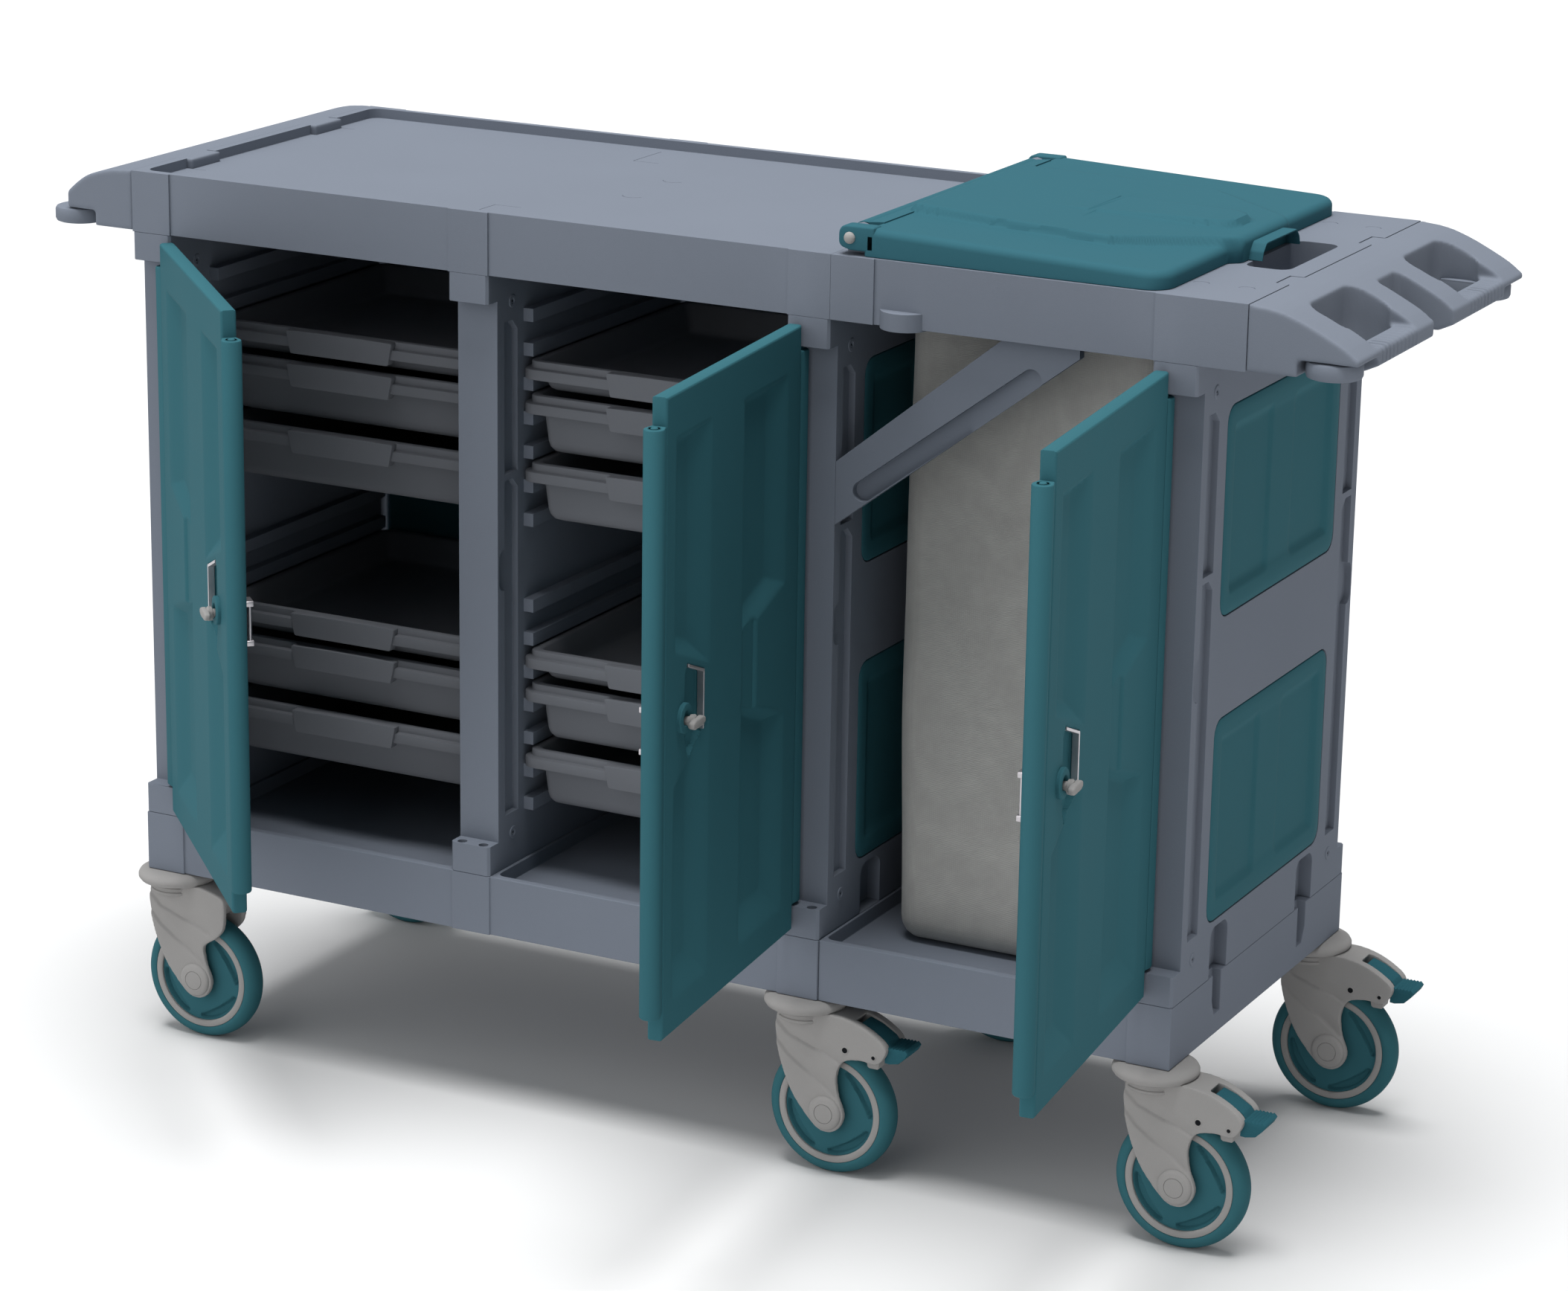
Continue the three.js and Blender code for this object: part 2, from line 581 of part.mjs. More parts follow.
function tray(name, bay, rest, drop) {
  const x0 = bay * PITCH + BLOCK + 2;
  const x1 = (bay + 1) * PITCH - 2;
  const [y0, y1] = TRAY_Y;
  const z = rest + GAP;
  const ring = (inset, r) => roundRect(x0 + inset, x1 - inset, y0 + inset, y1 - inset, r);
  const deep = TRAY_INSET + TRAY_WALL;
  const grip = outlineOf([
    [x0 + 84, z + TRAY_RIM - 3], [x0 + 96, z - 6], [x1 - 96, z - 6], [x1 - 84, z + TRAY_RIM - 3],
  ]);
  const body = cut(
    join(
      prism(ring(0, 10), "z", z, z + TRAY_RIM),
      prism(ring(TRAY_INSET, 12), "z", z - drop, z + 1),
      prism(grip, "y", y0 - 5, y0 + 8),
    ),
    prism(ring(deep, 9), "z", z - drop + TRAY_WALL, z + TRAY_RIM + 1),
  );
  cart.add(meshOf(name, body, trayPlastic));
}

["left", "mid"].forEach((place, bay) => {
  LEDGE_TOPS.forEach((top, group) => {
    TRAY_ROWS.forEach((row, i) => {
      const level = group * TRAY_ROWS.length + i + 1;
      const drop = i === 0 ? TRAY_SHALLOW_DROP : TRAY_BODY_DROP;
      tray("tray_" + place + "_" + level, bay, top - row * LEDGE_STEP, drop);
    });
  });
});

// ---- Doors and their knobs ---------------------------------------------------------------------

// A door along +u from its pin, outer face at v = -DOOR_HALF.
function doorBody() {
  const h = DOOR_HALF;
  const end = DOOR_SPAN - DOOR_START;
  const [top, bottom] = STRIP_Z;
  const [z0, z1] = DOOR_Z;
  const strip = (u) => join(
    rod("z", [u, 0, 0], STRIP_RADIUS, bottom, top, 20),
    rod("z", [u, 0, 0], PIN_RADIUS, bottom - 14, bottom + 1),
    rod("z", [u, 0, 0], PIN_RADIUS, top - 1, top + 14),
  );
  const free = rod("z", [DOOR_SPAN, 0, 0], STRIP_RADIUS, bottom, top, 20);
  const plate = join(box(DOOR_START, end, -h, h, z0, z1), box(0, DOOR_SPAN, -h, h, bottom, top));
  const [f0, f1] = [DOOR_START + 30, end - 30];
  const mid = (f0 + f1) / 2;
  const rib = 62;
  const sunk = 5;
  const zMid = (z0 + z1) / 2;
  // Two side channels run the height of the field and break at mid height.
  const channel = (a, b, low, high) => outlineOf([
    [a, low], [b, low + 14], [b, high - 14], [a, high],
  ]);
  const wells = [
    channel(f0, mid - rib, z0 + 42, zMid - 62),
    channel(f0, mid - rib, zMid + 62, z1 - 42),
    channel(f1, mid + rib, z0 + 42, zMid - 62),
    channel(f1, mid + rib, zMid + 62, z1 - 42),
  ].map((outline) => prism(outline, "y", -h - 1, -h + sunk));
  const pocket = prism(outlineOf([
    [288, 700], [288, 626], [318, 580], [370, 580], [370, 700],
  ]), "y", -h - 1, -h + 8);
  const boss = rod("y", [KNOB_U, 0, KNOB_Z], 17, -h - 1, 0, 20);
  const bore = rod("y", [KNOB_U, 0, KNOB_Z], 6.5, -h - 2, 2);
  return cut(join(cut(plate, ...wells, pocket), strip(0), free, boss), bore);
}

function knobBody() {
  const face = -DOOR_HALF - 1 - GAP;
  const outline = roundRect(KNOB_U - 22, KNOB_U + 22, KNOB_Z - 6, KNOB_Z + 6, 5.5);
  const bar = prism(outline, "y", face - 13, face - 4);
  return join(
    rod("y", [KNOB_U, 0, KNOB_Z], 5.8, face - 5, 0),
    rod("y", [KNOB_U, 0, KNOB_Z], 10, face - 5, face),
    bar,
  );
}

// hand is +1 for a door that closes towards larger x; a mirrored door keeps the same outer face.
for (const { side, block, hand, angle } of DOORS) {
  const pinX = block * PITCH + (hand > 0 ? BLOCK - PIN_INSET : PIN_INSET);
  const turn = new THREE.Group();
  turn.position.set(pinX, PIN_Y, 0);
  turn.rotation.z = THREE.MathUtils.degToRad(-hand * angle);
  const handed = (body) => (hand > 0 ? body : body.mirror([1, 0, 0]));
  turn.add(meshOf("door_" + side, handed(doorBody()), tealPlastic));
  turn.add(meshOf("door_knob_" + side, handed(knobBody()), casterPlastic));
  cart.add(turn);
}

// ---- Casters -----------------------------------------------------------------------------------

const PEDAL_PIVOT = { x: 98, z: 163 };

// Side view of a fork, from its stem axis; the arm of a braked one reaches over its pedal.
function forkOutline(brake) {
  const shape = new THREE.Shape();
  shape.moveTo(-22, 203);
  shape.bezierCurveTo(-29, 185, -31, 165, -24, 148);
  shape.bezierCurveTo(-18, 125, -8, 98, 18, 80);
  shape.absarc(TRAIL, WHEEL_RADIUS, 22, Math.PI, 2 * Math.PI);
  shape.bezierCurveTo(54, 100, 50, 130, 60, 146);
  if (brake) {
    shape.lineTo(72, 152);
    shape.lineTo(103, 152);
    shape.lineTo(112, 168);
    shape.lineTo(109, 184);
    shape.bezierCurveTo(98, 194, 84, 202, 62, 203);
  } else {
    shape.lineTo(86, 156);
    shape.lineTo(88, 186);
    shape.bezierCurveTo(84, 196, 76, 202, 62, 203);
  }
  return shape;
}

function forkBody(brake) {
  const cheeks = prism(forkOutline(brake), "y", -FORK_HALF, FORK_HALF, 3);
  const room = WHEEL_HALF + 2;
  const wheelRoom = rod("y", [TRAIL, 0, WHEEL_RADIUS], WHEEL_RADIUS + 4, -room, room, 24);
  const stem = turned(
    [[0, 196], [42, 196], [50, 208], [44, 218], [11, 218], [11, 268], [0, 268]],
    "z", [0, 0, 0], 16,
  );
  const hub = rod("y", [TRAIL, 0, WHEEL_RADIUS], 20, FORK_HALF - 1, 30.5);
  const axle = rod("y", [TRAIL, 0, WHEEL_RADIUS], 6, -FORK_HALF, FORK_HALF);
  let body = join(cut(cheeks, wheelRoom), stem, hub, hub.mirror([0, 1, 0]), axle);
  if (brake) {
    const slot = box(86, 140, -10, 10, 140, 210);
    const pin = rod("y", [PEDAL_PIVOT.x, 0, PEDAL_PIVOT.z], 3, -12, 12, 12);
    body = join(cut(body, slot), pin);
  }
  return body;
}

function wheelBody() {
  const r = WHEEL_RADIUS / Math.cos(Math.PI / WHEEL_SIDES);
  const w = WHEEL_HALF;
  const profile = [
    [7, -12], [54, -12], [60, -w], [r - 6, -w], [r, -w + 7], [r, w - 7], [r - 6, w], [60, w],
    [54, 12], [7, 12], [7, -12],
  ];
  const body = turned(profile, "y", [0, 0, 0], WHEEL_SIDES);
  return body.rotate([0, 180 / WHEEL_SIDES, 0]).translate([TRAIL, 0, WHEEL_RADIUS]);
}

function pedalBody() {
  const plate = outlineOf([
    [114, 153], [138, 155], [150, 170], [147, 177], [128, 177], [114, 173],
  ]);
  const tongue = outlineOf([
    [98, 156], [118, 156], [118, 170], [98, 170],
  ]);
  const body = join(
    prism(plate, "y", -21, 21),
    prism(tongue, "y", -8, 8),
    rod("y", [PEDAL_PIVOT.x, 0, PEDAL_PIVOT.z], 7, -8, 8),
  );
  return cut(body, rod("y", [PEDAL_PIVOT.x, 0, PEDAL_PIVOT.z], 4, -9, 9, 12));
}

for (const { place, x, y, brake } of CASTERS) {
  const caster = new THREE.Group();
  caster.position.set(x, y, 0);
  caster.add(meshOf("caster_fork_" + place, forkBody(brake), casterPlastic));
  caster.add(meshOf("caster_wheel_" + place, wheelBody(), tyreRubber));
  if (brake) caster.add(meshOf("brake_pedal_" + place, pedalBody(), tealPlastic));
  cart.add(caster);
}

// The middle of the footprint stands on the origin.
const reach = new THREE.Box3().setFromObject(cart);
const middle = reach.getCenter(new THREE.Vector3());
cart.position.set(-middle.x, -middle.y, -reach.min.z);
const root = new THREE.Group();
root.add(cart);

export default root;
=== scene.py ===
# The looks of a housekeeping cart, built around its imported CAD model. Metres, +Z up.
import json
import math

import bmesh
import bpy
import numpy as np
from mathutils import Matrix, Vector

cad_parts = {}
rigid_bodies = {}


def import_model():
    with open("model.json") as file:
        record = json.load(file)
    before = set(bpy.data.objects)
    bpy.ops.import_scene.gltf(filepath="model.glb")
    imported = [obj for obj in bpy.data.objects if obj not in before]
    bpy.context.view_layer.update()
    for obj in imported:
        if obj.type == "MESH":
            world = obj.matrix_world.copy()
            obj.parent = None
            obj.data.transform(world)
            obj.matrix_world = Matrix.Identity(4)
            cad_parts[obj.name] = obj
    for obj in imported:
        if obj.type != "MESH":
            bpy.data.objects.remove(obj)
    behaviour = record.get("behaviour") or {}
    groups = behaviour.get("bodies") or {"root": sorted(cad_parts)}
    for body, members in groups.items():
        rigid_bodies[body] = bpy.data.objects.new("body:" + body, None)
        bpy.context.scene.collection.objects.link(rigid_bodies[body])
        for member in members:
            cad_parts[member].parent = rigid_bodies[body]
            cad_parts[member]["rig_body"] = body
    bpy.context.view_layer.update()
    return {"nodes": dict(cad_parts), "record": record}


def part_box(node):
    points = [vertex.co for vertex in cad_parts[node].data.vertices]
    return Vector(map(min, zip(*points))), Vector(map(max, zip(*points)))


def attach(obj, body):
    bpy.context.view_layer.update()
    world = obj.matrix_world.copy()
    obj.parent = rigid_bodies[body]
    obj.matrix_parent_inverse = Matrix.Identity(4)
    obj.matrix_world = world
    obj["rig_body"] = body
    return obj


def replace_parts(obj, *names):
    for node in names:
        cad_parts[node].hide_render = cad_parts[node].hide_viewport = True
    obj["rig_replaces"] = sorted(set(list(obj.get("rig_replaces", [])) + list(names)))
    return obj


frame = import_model()

# ---- Plan of the cart ----
# The plan is in millimetres from the deck's front left corner on the floor, as the cart is drawn.
ORIGIN = Vector((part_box("deck_top")[0].x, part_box("deck_top")[0].y, 0))
MM = 0.001
PITCH = 443.25
BLOCK = 53.5
DEPTH = 534
MID_Y = DEPTH / 2
DECK_END = 2 * PITCH + BLOCK
POST_END = 3 * PITCH + BLOCK
DECK_TOP = 1102.5
RAIL_BOTTOM = 1028.5
BASE_TOP = 293
CAP_BOTTOM = 994
FOOT_TOP = 330


def at(x, y, z):
    """A point of the plan, in the row frame."""
    return ORIGIN + Vector((x, y, z)) * MM


def ends(node, axis):
    """The low and high ends of a CAD node's box along one axis, in the plan."""
    return [(corner - ORIGIN)["xyz".index(axis)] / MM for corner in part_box(node)]


def added(name, data):
    """A new object in the scene."""
    obj = bpy.data.objects.new(name, data)
    bpy.context.scene.collection.objects.link(obj)
    return obj


# ---- Camera ----
def add_camera():
    """A long lens above the handle end, turned a little about its own axis."""
    azimuth, elevation, roll = (math.radians(a) for a in (27.19, 16.51, 0.93))
    back = Vector((
        math.sin(azimuth) * math.cos(elevation),
        -math.cos(azimuth) * math.cos(elevation),
        math.sin(elevation),
    ))
    level = (-back).cross(Vector((0, 0, 1))).normalized()
    upright = level.cross(-back)
    right = math.cos(roll) * level + math.sin(roll) * upright
    up = -math.sin(roll) * level + math.cos(roll) * upright
    data = bpy.data.cameras.new("camera")
    data.sensor_width = 36
    data.lens = 105.28
    data.clip_end = 50
    camera = added("camera", data)
    turn = Matrix((right, up, back)).transposed().to_4x4()
    camera.matrix_world = Matrix.Translation(at(3182.95, -4464.18, 2130.0)) @ turn
    bpy.context.scene.camera = camera


add_camera()


# ---- Light and floor ----
def add_sun(name, toward, spread, irradiance):
    """An even light from one side; toward points from the cart to the light."""
    data = bpy.data.lights.new(name, "SUN")
    data.energy = irradiance
    data.angle = math.radians(spread)
    added(name, data).rotation_euler = Vector(toward).to_track_quat("Z", "Y").to_euler()


def add_stage():
    """A white sweep under a broad overhead light, with a weaker light from the front."""
    world = bpy.data.worlds.new("studio")
    bpy.context.scene.world = world
    world.use_nodes = True
    shade = world.node_tree.nodes["Background"]
    shade.inputs["Color"].default_value = (0.95, 0.975, 1.0, 1)
    shade.inputs["Strength"].default_value = 0.32
    mesh = bpy.data.meshes.new("floor")
    half = 30
    square = [(-half, -half, 0), (half, -half, 0), (half, half, 0), (-half, half, 0)]
    mesh.from_pydata(square, [], [(0, 1, 2, 3)])
    paper = bpy.data.materials.new("floor_paper")
    paper.use_nodes = True
    shader = paper.node_tree.nodes["Principled BSDF"]
    shader.inputs["Base Color"].default_value = (0.62, 0.62, 0.62, 1)
    shader.inputs["Roughness"].default_value = 1.0
    shader.inputs["Specular IOR Level"].default_value = 0.0
    mesh.materials.append(paper)
    added("floor", mesh)
    add_sun("overhead", (0.0, -0.06, 1), 34, 4.25)
    add_sun("front", (-0.5, -1, 0.35), 84, 1.5)
    bpy.context.scene.view_settings.view_transform = "Standard"


add_stage()


# ---- Materials ----
def new_material(name, color, roughness):
    """A material, its node tree and shader, and the object's own place to draw textures over."""
    material = bpy.data.materials.new(name)
    material.use_nodes = True
    material.diffuse_color = (*color, 1)
    tree = material.node_tree
    shader = tree.nodes["Principled BSDF"]
    shader.inputs["Base Color"].default_value = (*color, 1)
    shader.inputs["Roughness"].default_value = roughness
    return material, tree, shader, tree.nodes.new("ShaderNodeTexCoord").outputs["Object"]


def shading(tree, kind, output, inputs, **settings):
    """The output of a new node whose inputs are values or the outputs of other nodes."""
    made = tree.nodes.new("ShaderNode" + kind)
    for name, value in settings.items():
        setattr(made, name, value)
    for name, value in inputs.items():
        if isinstance(value, bpy.types.NodeSocket):
            tree.links.new(value, made.inputs[name])
        else:
            made.inputs[name].default_value = value
    return made.outputs[output]


def noise(tree, where, scale, detail):
    return shading(tree, "TexNoise", "Fac", {"Scale": scale, "Detail": detail, "Vector": where})


def maths(tree, operation, *values):
    return shading(tree, "Math", 0, dict(enumerate(values)), operation=operation)


def tinted(tree, shader, color, spread, factor):
    """Base colour that wanders by spread either side of color."""
    tone = shading(tree, "Mix", "Result", {
        "A": (*[c * (1 - spread) for c in color], 1),
        "B": (*[min(1, c * (1 + spread)) for c in color], 1),
        "Factor": factor,
    }, data_type="RGBA")
    tree.links.new(tone, shader.inputs["Base Color"])


def glossed(tree, shader, value, low, high):
    """Roughness from low to high as value goes from 0 to 1."""
    rough = shading(tree, "MapRange", "Result", {"To Min": low, "To Max": high, "Value": value})
    tree.links.new(rough, shader.inputs["Roughness"])


def bumped(tree, shader, height, strength, distance):
    bump = {"Strength": strength, "Distance": distance, "Height": height}
    tree.links.new(shading(tree, "Bump", "Normal", bump), shader.inputs["Normal"])


def moulded(name, color, roughness=0.62, grain=1100, relief=0.4, mottle=0.06):
    """Moulded plastic: fine spark-eroded grain, slight unevenness of colour and gloss."""
    material, tree, shader, where = new_material(name, color, roughness)
    shader.inputs["Specular IOR Level"].default_value = 0.012
    fine = noise(tree, where, grain, 3)
    broad = noise(tree, where, 7, 4)
    mixed = maths(tree, "MULTIPLY_ADD", broad, 0.5, maths(tree, "MULTIPLY", fine, 0.5))
    tinted(tree, shader, color, mottle, mixed)
    glossed(tree, shader, broad, roughness - 0.06, roughness + 0.06)
    bumped(tree, shader, fine, relief, 0.0004)
    return material


def metal(name, color, roughness):
    """Plated steel with a faint brushed unevenness."""
    material, tree, shader, where = new_material(name, color, roughness)
    shader.inputs["Metallic"].default_value = 1.0
    fine = noise(tree, where, 300, 3)
    tinted(tree, shader, color, 0.06, fine)
    glossed(tree, shader, fine, roughness - 0.08, roughness + 0.12)
    bumped(tree, shader, fine, 0.15, 0.0002)
    return material


def woven(name, color):
    """Close plain weave: crossed sets of threads with slight slubs."""
    material, tree, shader, where = new_material(name, color, 0.9)
    shader.inputs["Sheen Weight"].default_value = 0.25
    shader.inputs["Sheen Roughness"].default_value = 0.5
    wave = {"Scale": 210, "Distortion": 0.6, "Detail": 1, "Vector": where}
    threads = [shading(tree, "TexWave", "Fac", wave, bands_direction=d) for d in "XYZ"]
    crossed = maths(tree, "MULTIPLY", maths(tree, "MAXIMUM", threads[0], threads[1]), threads[2])
    slub = noise(tree, where, 60, 4)
    tinted(tree, shader, color, 0.22, maths(tree, "MULTIPLY", maths(tree, "ADD", crossed, slub), 0.5))
    bumped(tree, shader, crossed, 0.5, 0.0006)
    return material


MATERIALS = {
    "frame_grey": moulded("grey_plastic", (0.158, 0.178, 0.215)),
    "tray_grey": moulded("tray_plastic", (0.135, 0.142, 0.158)),
    "lid_teal": moulded("lid_plastic", (0.031, 0.106, 0.134), roughness=0.55, relief=0.25),
    "teal_panel": moulded("teal_plastic", (0.033, 0.114, 0.138), roughness=0.6),
    "brake_teal": moulded("brake_plastic", (0.024, 0.095, 0.12), roughness=0.65, grain=420, relief=0.9),
    "caster_grey": moulded("caster_plastic", (0.285, 0.278, 0.272), mottle=0.09),
    "wheel_tread": moulded("tread_teal", (0.034, 0.118, 0.14), roughness=0.55),
    "bag_fabric": woven("bag_cloth", (0.34, 0.335, 0.32)),
    "latch_metal": metal("latch_plate", (0.50, 0.48, 0.50), roughness=0.38),
    # Near-black painted shade: it stands in for the shade inside the rivets' hollow ends and the sunk
    # screw holes.
    "painted_shade": moulded("painted_shade_material", (0.010, 0.011, 0.013), roughness=0.8),
}
SLOT_OF = {s["node"]: s["material_slot"] for s in frame["record"]["subparts"]}


# ---- Mesh tools ----
def new_mesh(points, faces):
    """A mesh from points in millimetres, facing outwards."""
    mesh = bpy.data.meshes.new("mesh")
    mesh.from_pydata((np.asarray(points, float) * MM).tolist(), [], faces)
    made = bmesh.new()
    made.from_mesh(mesh)
    bmesh.ops.remove_doubles(made, verts=made.verts, dist=1e-6)
    bmesh.ops.recalc_face_normals(made, faces=made.faces)
    made.to_mesh(mesh)
    made.free()
    return mesh


def placed(name, mesh, place=(0, 0, 0)):
    """An object at a place of the plan."""
    obj = added(name, mesh)
    obj.matrix_world = Matrix.Translation(at(*place))
    return obj


def shifted(obj, x, y, z):
    """Moves the points of an object, in millimetres."""
    obj.data.transform(Matrix.Translation((x * MM, y * MM, z * MM)))
    return obj


def discard(*objects):
    for obj in objects:
        bpy.data.objects.remove(obj)


def modified(obj, kind, **settings):
    """Applies a modifier to the mesh of an object."""
    step = obj.modifiers.new("step", kind)
    for name, value in settings.items():
        setattr(step, name, value)
    view = bpy.context.evaluated_depsgraph_get()
    made = bpy.data.meshes.new_from_object(obj.evaluated_get(view))
    obj.modifiers.clear()
    obj.data = made
    return obj


def finish_mesh(obj, angle=32, level=False):
    """Smooth shading that keeps real edges; level lets the large flat faces rule the normals."""
    for face in obj.data.polygons:
        face.use_smooth = True
    obj.data.set_sharp_from_angle(angle=math.radians(angle))
    return modified(obj, "WEIGHTED_NORMAL", keep_sharp=True) if level else obj


def bevelled(obj, width, segments=2):
    """Rounds the edges of an object by width, in millimetres."""
    return modified(obj, "BEVEL", width=width * MM, segments=segments, limit_method="ANGLE",
                    angle_limit=math.radians(28), use_clamp_overlap=True)


def cut_out(obj, tool):
    """Cuts another object out of this one, and removes the other."""
    modified(obj, "BOOLEAN", object=tool, operation="DIFFERENCE", solver="EXACT")
    discard(tool)


def remeshed(obj, voxel, rounds):
    """Even small faces, then rounds of smoothing that fillet every edge."""
    modified(obj, "REMESH", mode="VOXEL", voxel_size=voxel * MM)
    return modified(obj, "SMOOTH", factor=0.5, iterations=rounds)


def joined(name, objects):
    """One object made of several, each a closed shell."""
    made = bmesh.new()
    first = objects[0].matrix_world.copy()
    for obj in objects:
        part = obj.data.copy()
        part.transform(first.inverted() @ obj.matrix_world)
        made.from_mesh(part)
        bpy.data.meshes.remove(part)
    mesh = bpy.data.meshes.new(name)
    made.to_mesh(mesh)
    made.free()
    whole = added(name, mesh)
    whole.matrix_world = first
    discard(*objects)
    return whole


def place_piece(obj, body, slot, *nodes):
    """Gives a finished piece its material, its body and the CAD nodes it stands for."""
    obj.data.materials.clear()
    obj.data.materials.append(MATERIALS[slot])
    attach(obj, body)
    if nodes:
        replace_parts(obj, *nodes)
    return obj


def stand_for(obj, node):
    """Puts a finished piece in the place of a CAD node, on its body and in its slot."""
    return place_piece(obj, frame["nodes"][node]["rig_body"], SLOT_OF[node], node)


def strips(rows, cols, closed):
    """Faces of a grid of rows by cols points; closed joins the last column to the first."""
    last = cols if closed else cols - 1
    faces = []
    for i in range(rows - 1):
        for j in range(last):
            k = (j + 1) % cols
            faces.append((i * cols + j, i * cols + k, (i + 1) * cols + k, (i + 1) * cols + j))
    return faces


def loft_mesh(rings):
    """A skin over closed rings of points, with flat ends."""
    rings = np.asarray(rings, float)
    rows, cols = rings.shape[:2]
    faces = strips(rows, cols, True)
    faces.append(tuple(range(cols)))
    faces.append(tuple((rows - 1) * cols + j for j in range(cols)))
    return new_mesh(rings.reshape(-1, 3), faces)


def lifted(plan, axis, level):
    """Points of the (y, z), (x, z) or (x, y) plane, set at a level of the third axis."""
    return np.insert(np.asarray(plan, float), "xyz".index(axis), level, axis=1)


def lathe_mesh(profile, axis, steps):
    """A solid of revolution; profile holds (radius, place along the axis) pairs."""
    turns = np.linspace(0, 2 * np.pi, steps, endpoint=False)
    circle = np.stack([np.cos(turns), np.sin(turns)], 1)
    return loft_mesh([lifted(max(radius, 1e-4) * circle, axis, along) for radius, along in profile])


def turned(profile, axis, steps, where=(0, 0, 0)):
    """A solid of revolution as an object, its axis through where."""
    return shifted(placed("turned", lathe_mesh(profile, axis, steps)), *where)


def pushed(outline, axis, low, high, soften=0, segments=2):
    """An outline pushed along an axis from low to high, its edges softened by a width."""
    obj = placed("pushed", loft_mesh([lifted(outline, axis, level) for level in (low, high)]))
    return bevelled(obj, soften, segments) if soften else obj


def corners(a0, a1, b0, b1):
    """The corners of a rectangle, counter-clockwise."""
    return [(a0, b0), (a1, b0), (a1, b1), (a0, b1)]


def arc(x, y, radius, start, end, steps):
    """Points along part of a circle; the angles are in degrees."""
    turns = np.radians(np.linspace(start, end, steps + 1))
    return np.stack([x + radius * np.cos(turns), y + radius * np.sin(turns)], 1)


def rounded_ring(x0, x1, y0, y1, radii, counts=(1, 1), steps=7):
    """A rectangle with a radius for each corner; counts splits the sides along y and along x."""
    a, b, c, d = radii
    centres = [(x1 - a, y0 + a), (x1 - b, y1 - b), (x0 + c, y1 - c), (x0 + d, y0 + d)]
    arcs = []
    for i, ((x, y), radius) in enumerate(zip(centres, radii)):
        arcs.append(arc(x, y, radius, 90 * i - 90, 90 * i, steps))
    points = []
    for i, turn in enumerate(arcs):
        side = np.linspace(turn[-1], arcs[(i + 1) % 4][0], counts[i % 2] + 1)
        points += [turn, side[1:-1]]
    return np.concatenate(points)


def curve_through(points, steps):
    """A closed smooth curve through points."""
    p = np.asarray(points, float)
    t = (np.arange(steps) / steps)[:, None]
    made = []
    for a, b, c, d in zip(np.roll(p, 1, 0), p, np.roll(p, -1, 0), np.roll(p, -2, 0)):
        made.append(0.5 * (
            2 * b + (c - a) * t + (2 * a - 5 * b + 4 * c - d) * t**2
            + (3 * b - a - 3 * c + d) * t**3
        ))
    return np.concatenate(made)


def filleted(points, radii, steps=5):
    """A polygon with its corners rounded; radii is one number or one for each corner."""
    if isinstance(radii, (int, float)):
        radii = [radii] * len(points)
    p = [Vector(q) for q in points]
    made = []
    for i, r in enumerate(radii):
        corner, back, ahead = p[i], p[i - 1] - p[i], p[(i + 1) % len(p)] - p[i]
        if r <= 0:
            made.append(tuple(corner))
            continue
        half = back.angle(ahead) / 2
        reach = min(r / math.tan(half), 0.48 * back.length, 0.48 * ahead.length)
        a, b = corner + back.normalized() * reach, corner + ahead.normalized() * reach
        for k in range(steps + 1):
            t = k / steps
            made.append(tuple((1 - t) ** 2 * a + 2 * t * (1 - t) * corner + t**2 * b))
    return made


def eased(x):
    """0 to 1 with level ends."""
    x = np.clip(x, 0, 1)
    return x * x * (3 - 2 * x)


def node_copy(node):
    """A loose copy of a CAD node's solid, named as its shell."""
    source = frame["nodes"][node]
    obj = added(node + "_shell", source.data.copy())
    obj.matrix_world = source.matrix_world.copy()
    return obj


def crisp_shell(node, width, tools=()):
    """A CAD node cut by tools, its flat faces joined up and its edges rounded."""
    obj = node_copy(node)
    for tool in tools:
        cut_out(obj, tool)
    made = bmesh.new()
    made.from_mesh(obj.data)
    bmesh.ops.remove_doubles(made, verts=made.verts, dist=2e-6)
    bmesh.ops.dissolve_limit(made, angle_limit=math.radians(0.8), verts=made.verts, edges=made.edges)
    made.to_mesh(obj.data)
    made.free()
    return stand_for(finish_mesh(bevelled(obj, width), level=True), node)


def moved(obj, shift, base=(0, 0, 0)):
    """Moves the points of an object by shift(points, normals), in millimetres from base."""
    mesh = obj.data
    points, normals = np.empty((2, len(mesh.vertices) * 3))
    mesh.vertices.foreach_get("co", points)
    mesh.vertices.foreach_get("normal", normals)
    plan = (points.reshape(-1, 3) - np.array(base)) / MM
    plan = plan + shift(plan, normals.reshape(-1, 3))
    mesh.vertices.foreach_set("co", (plan * MM + np.array(base)).reshape(-1))
    mesh.update()


# ---- Trays ----
TRAY_WIDTH = PITCH - BLOCK - 4
TRAY_LENGTH = 400
TRAY_FRONT = 70
GAP = 0.3
LEDGE_STEP = 41.5
LEDGE_TOPS = (976, 621)
TRAY_ROWS = (2, 3, 5)
TRAY_DROPS = (17, 51, 51)


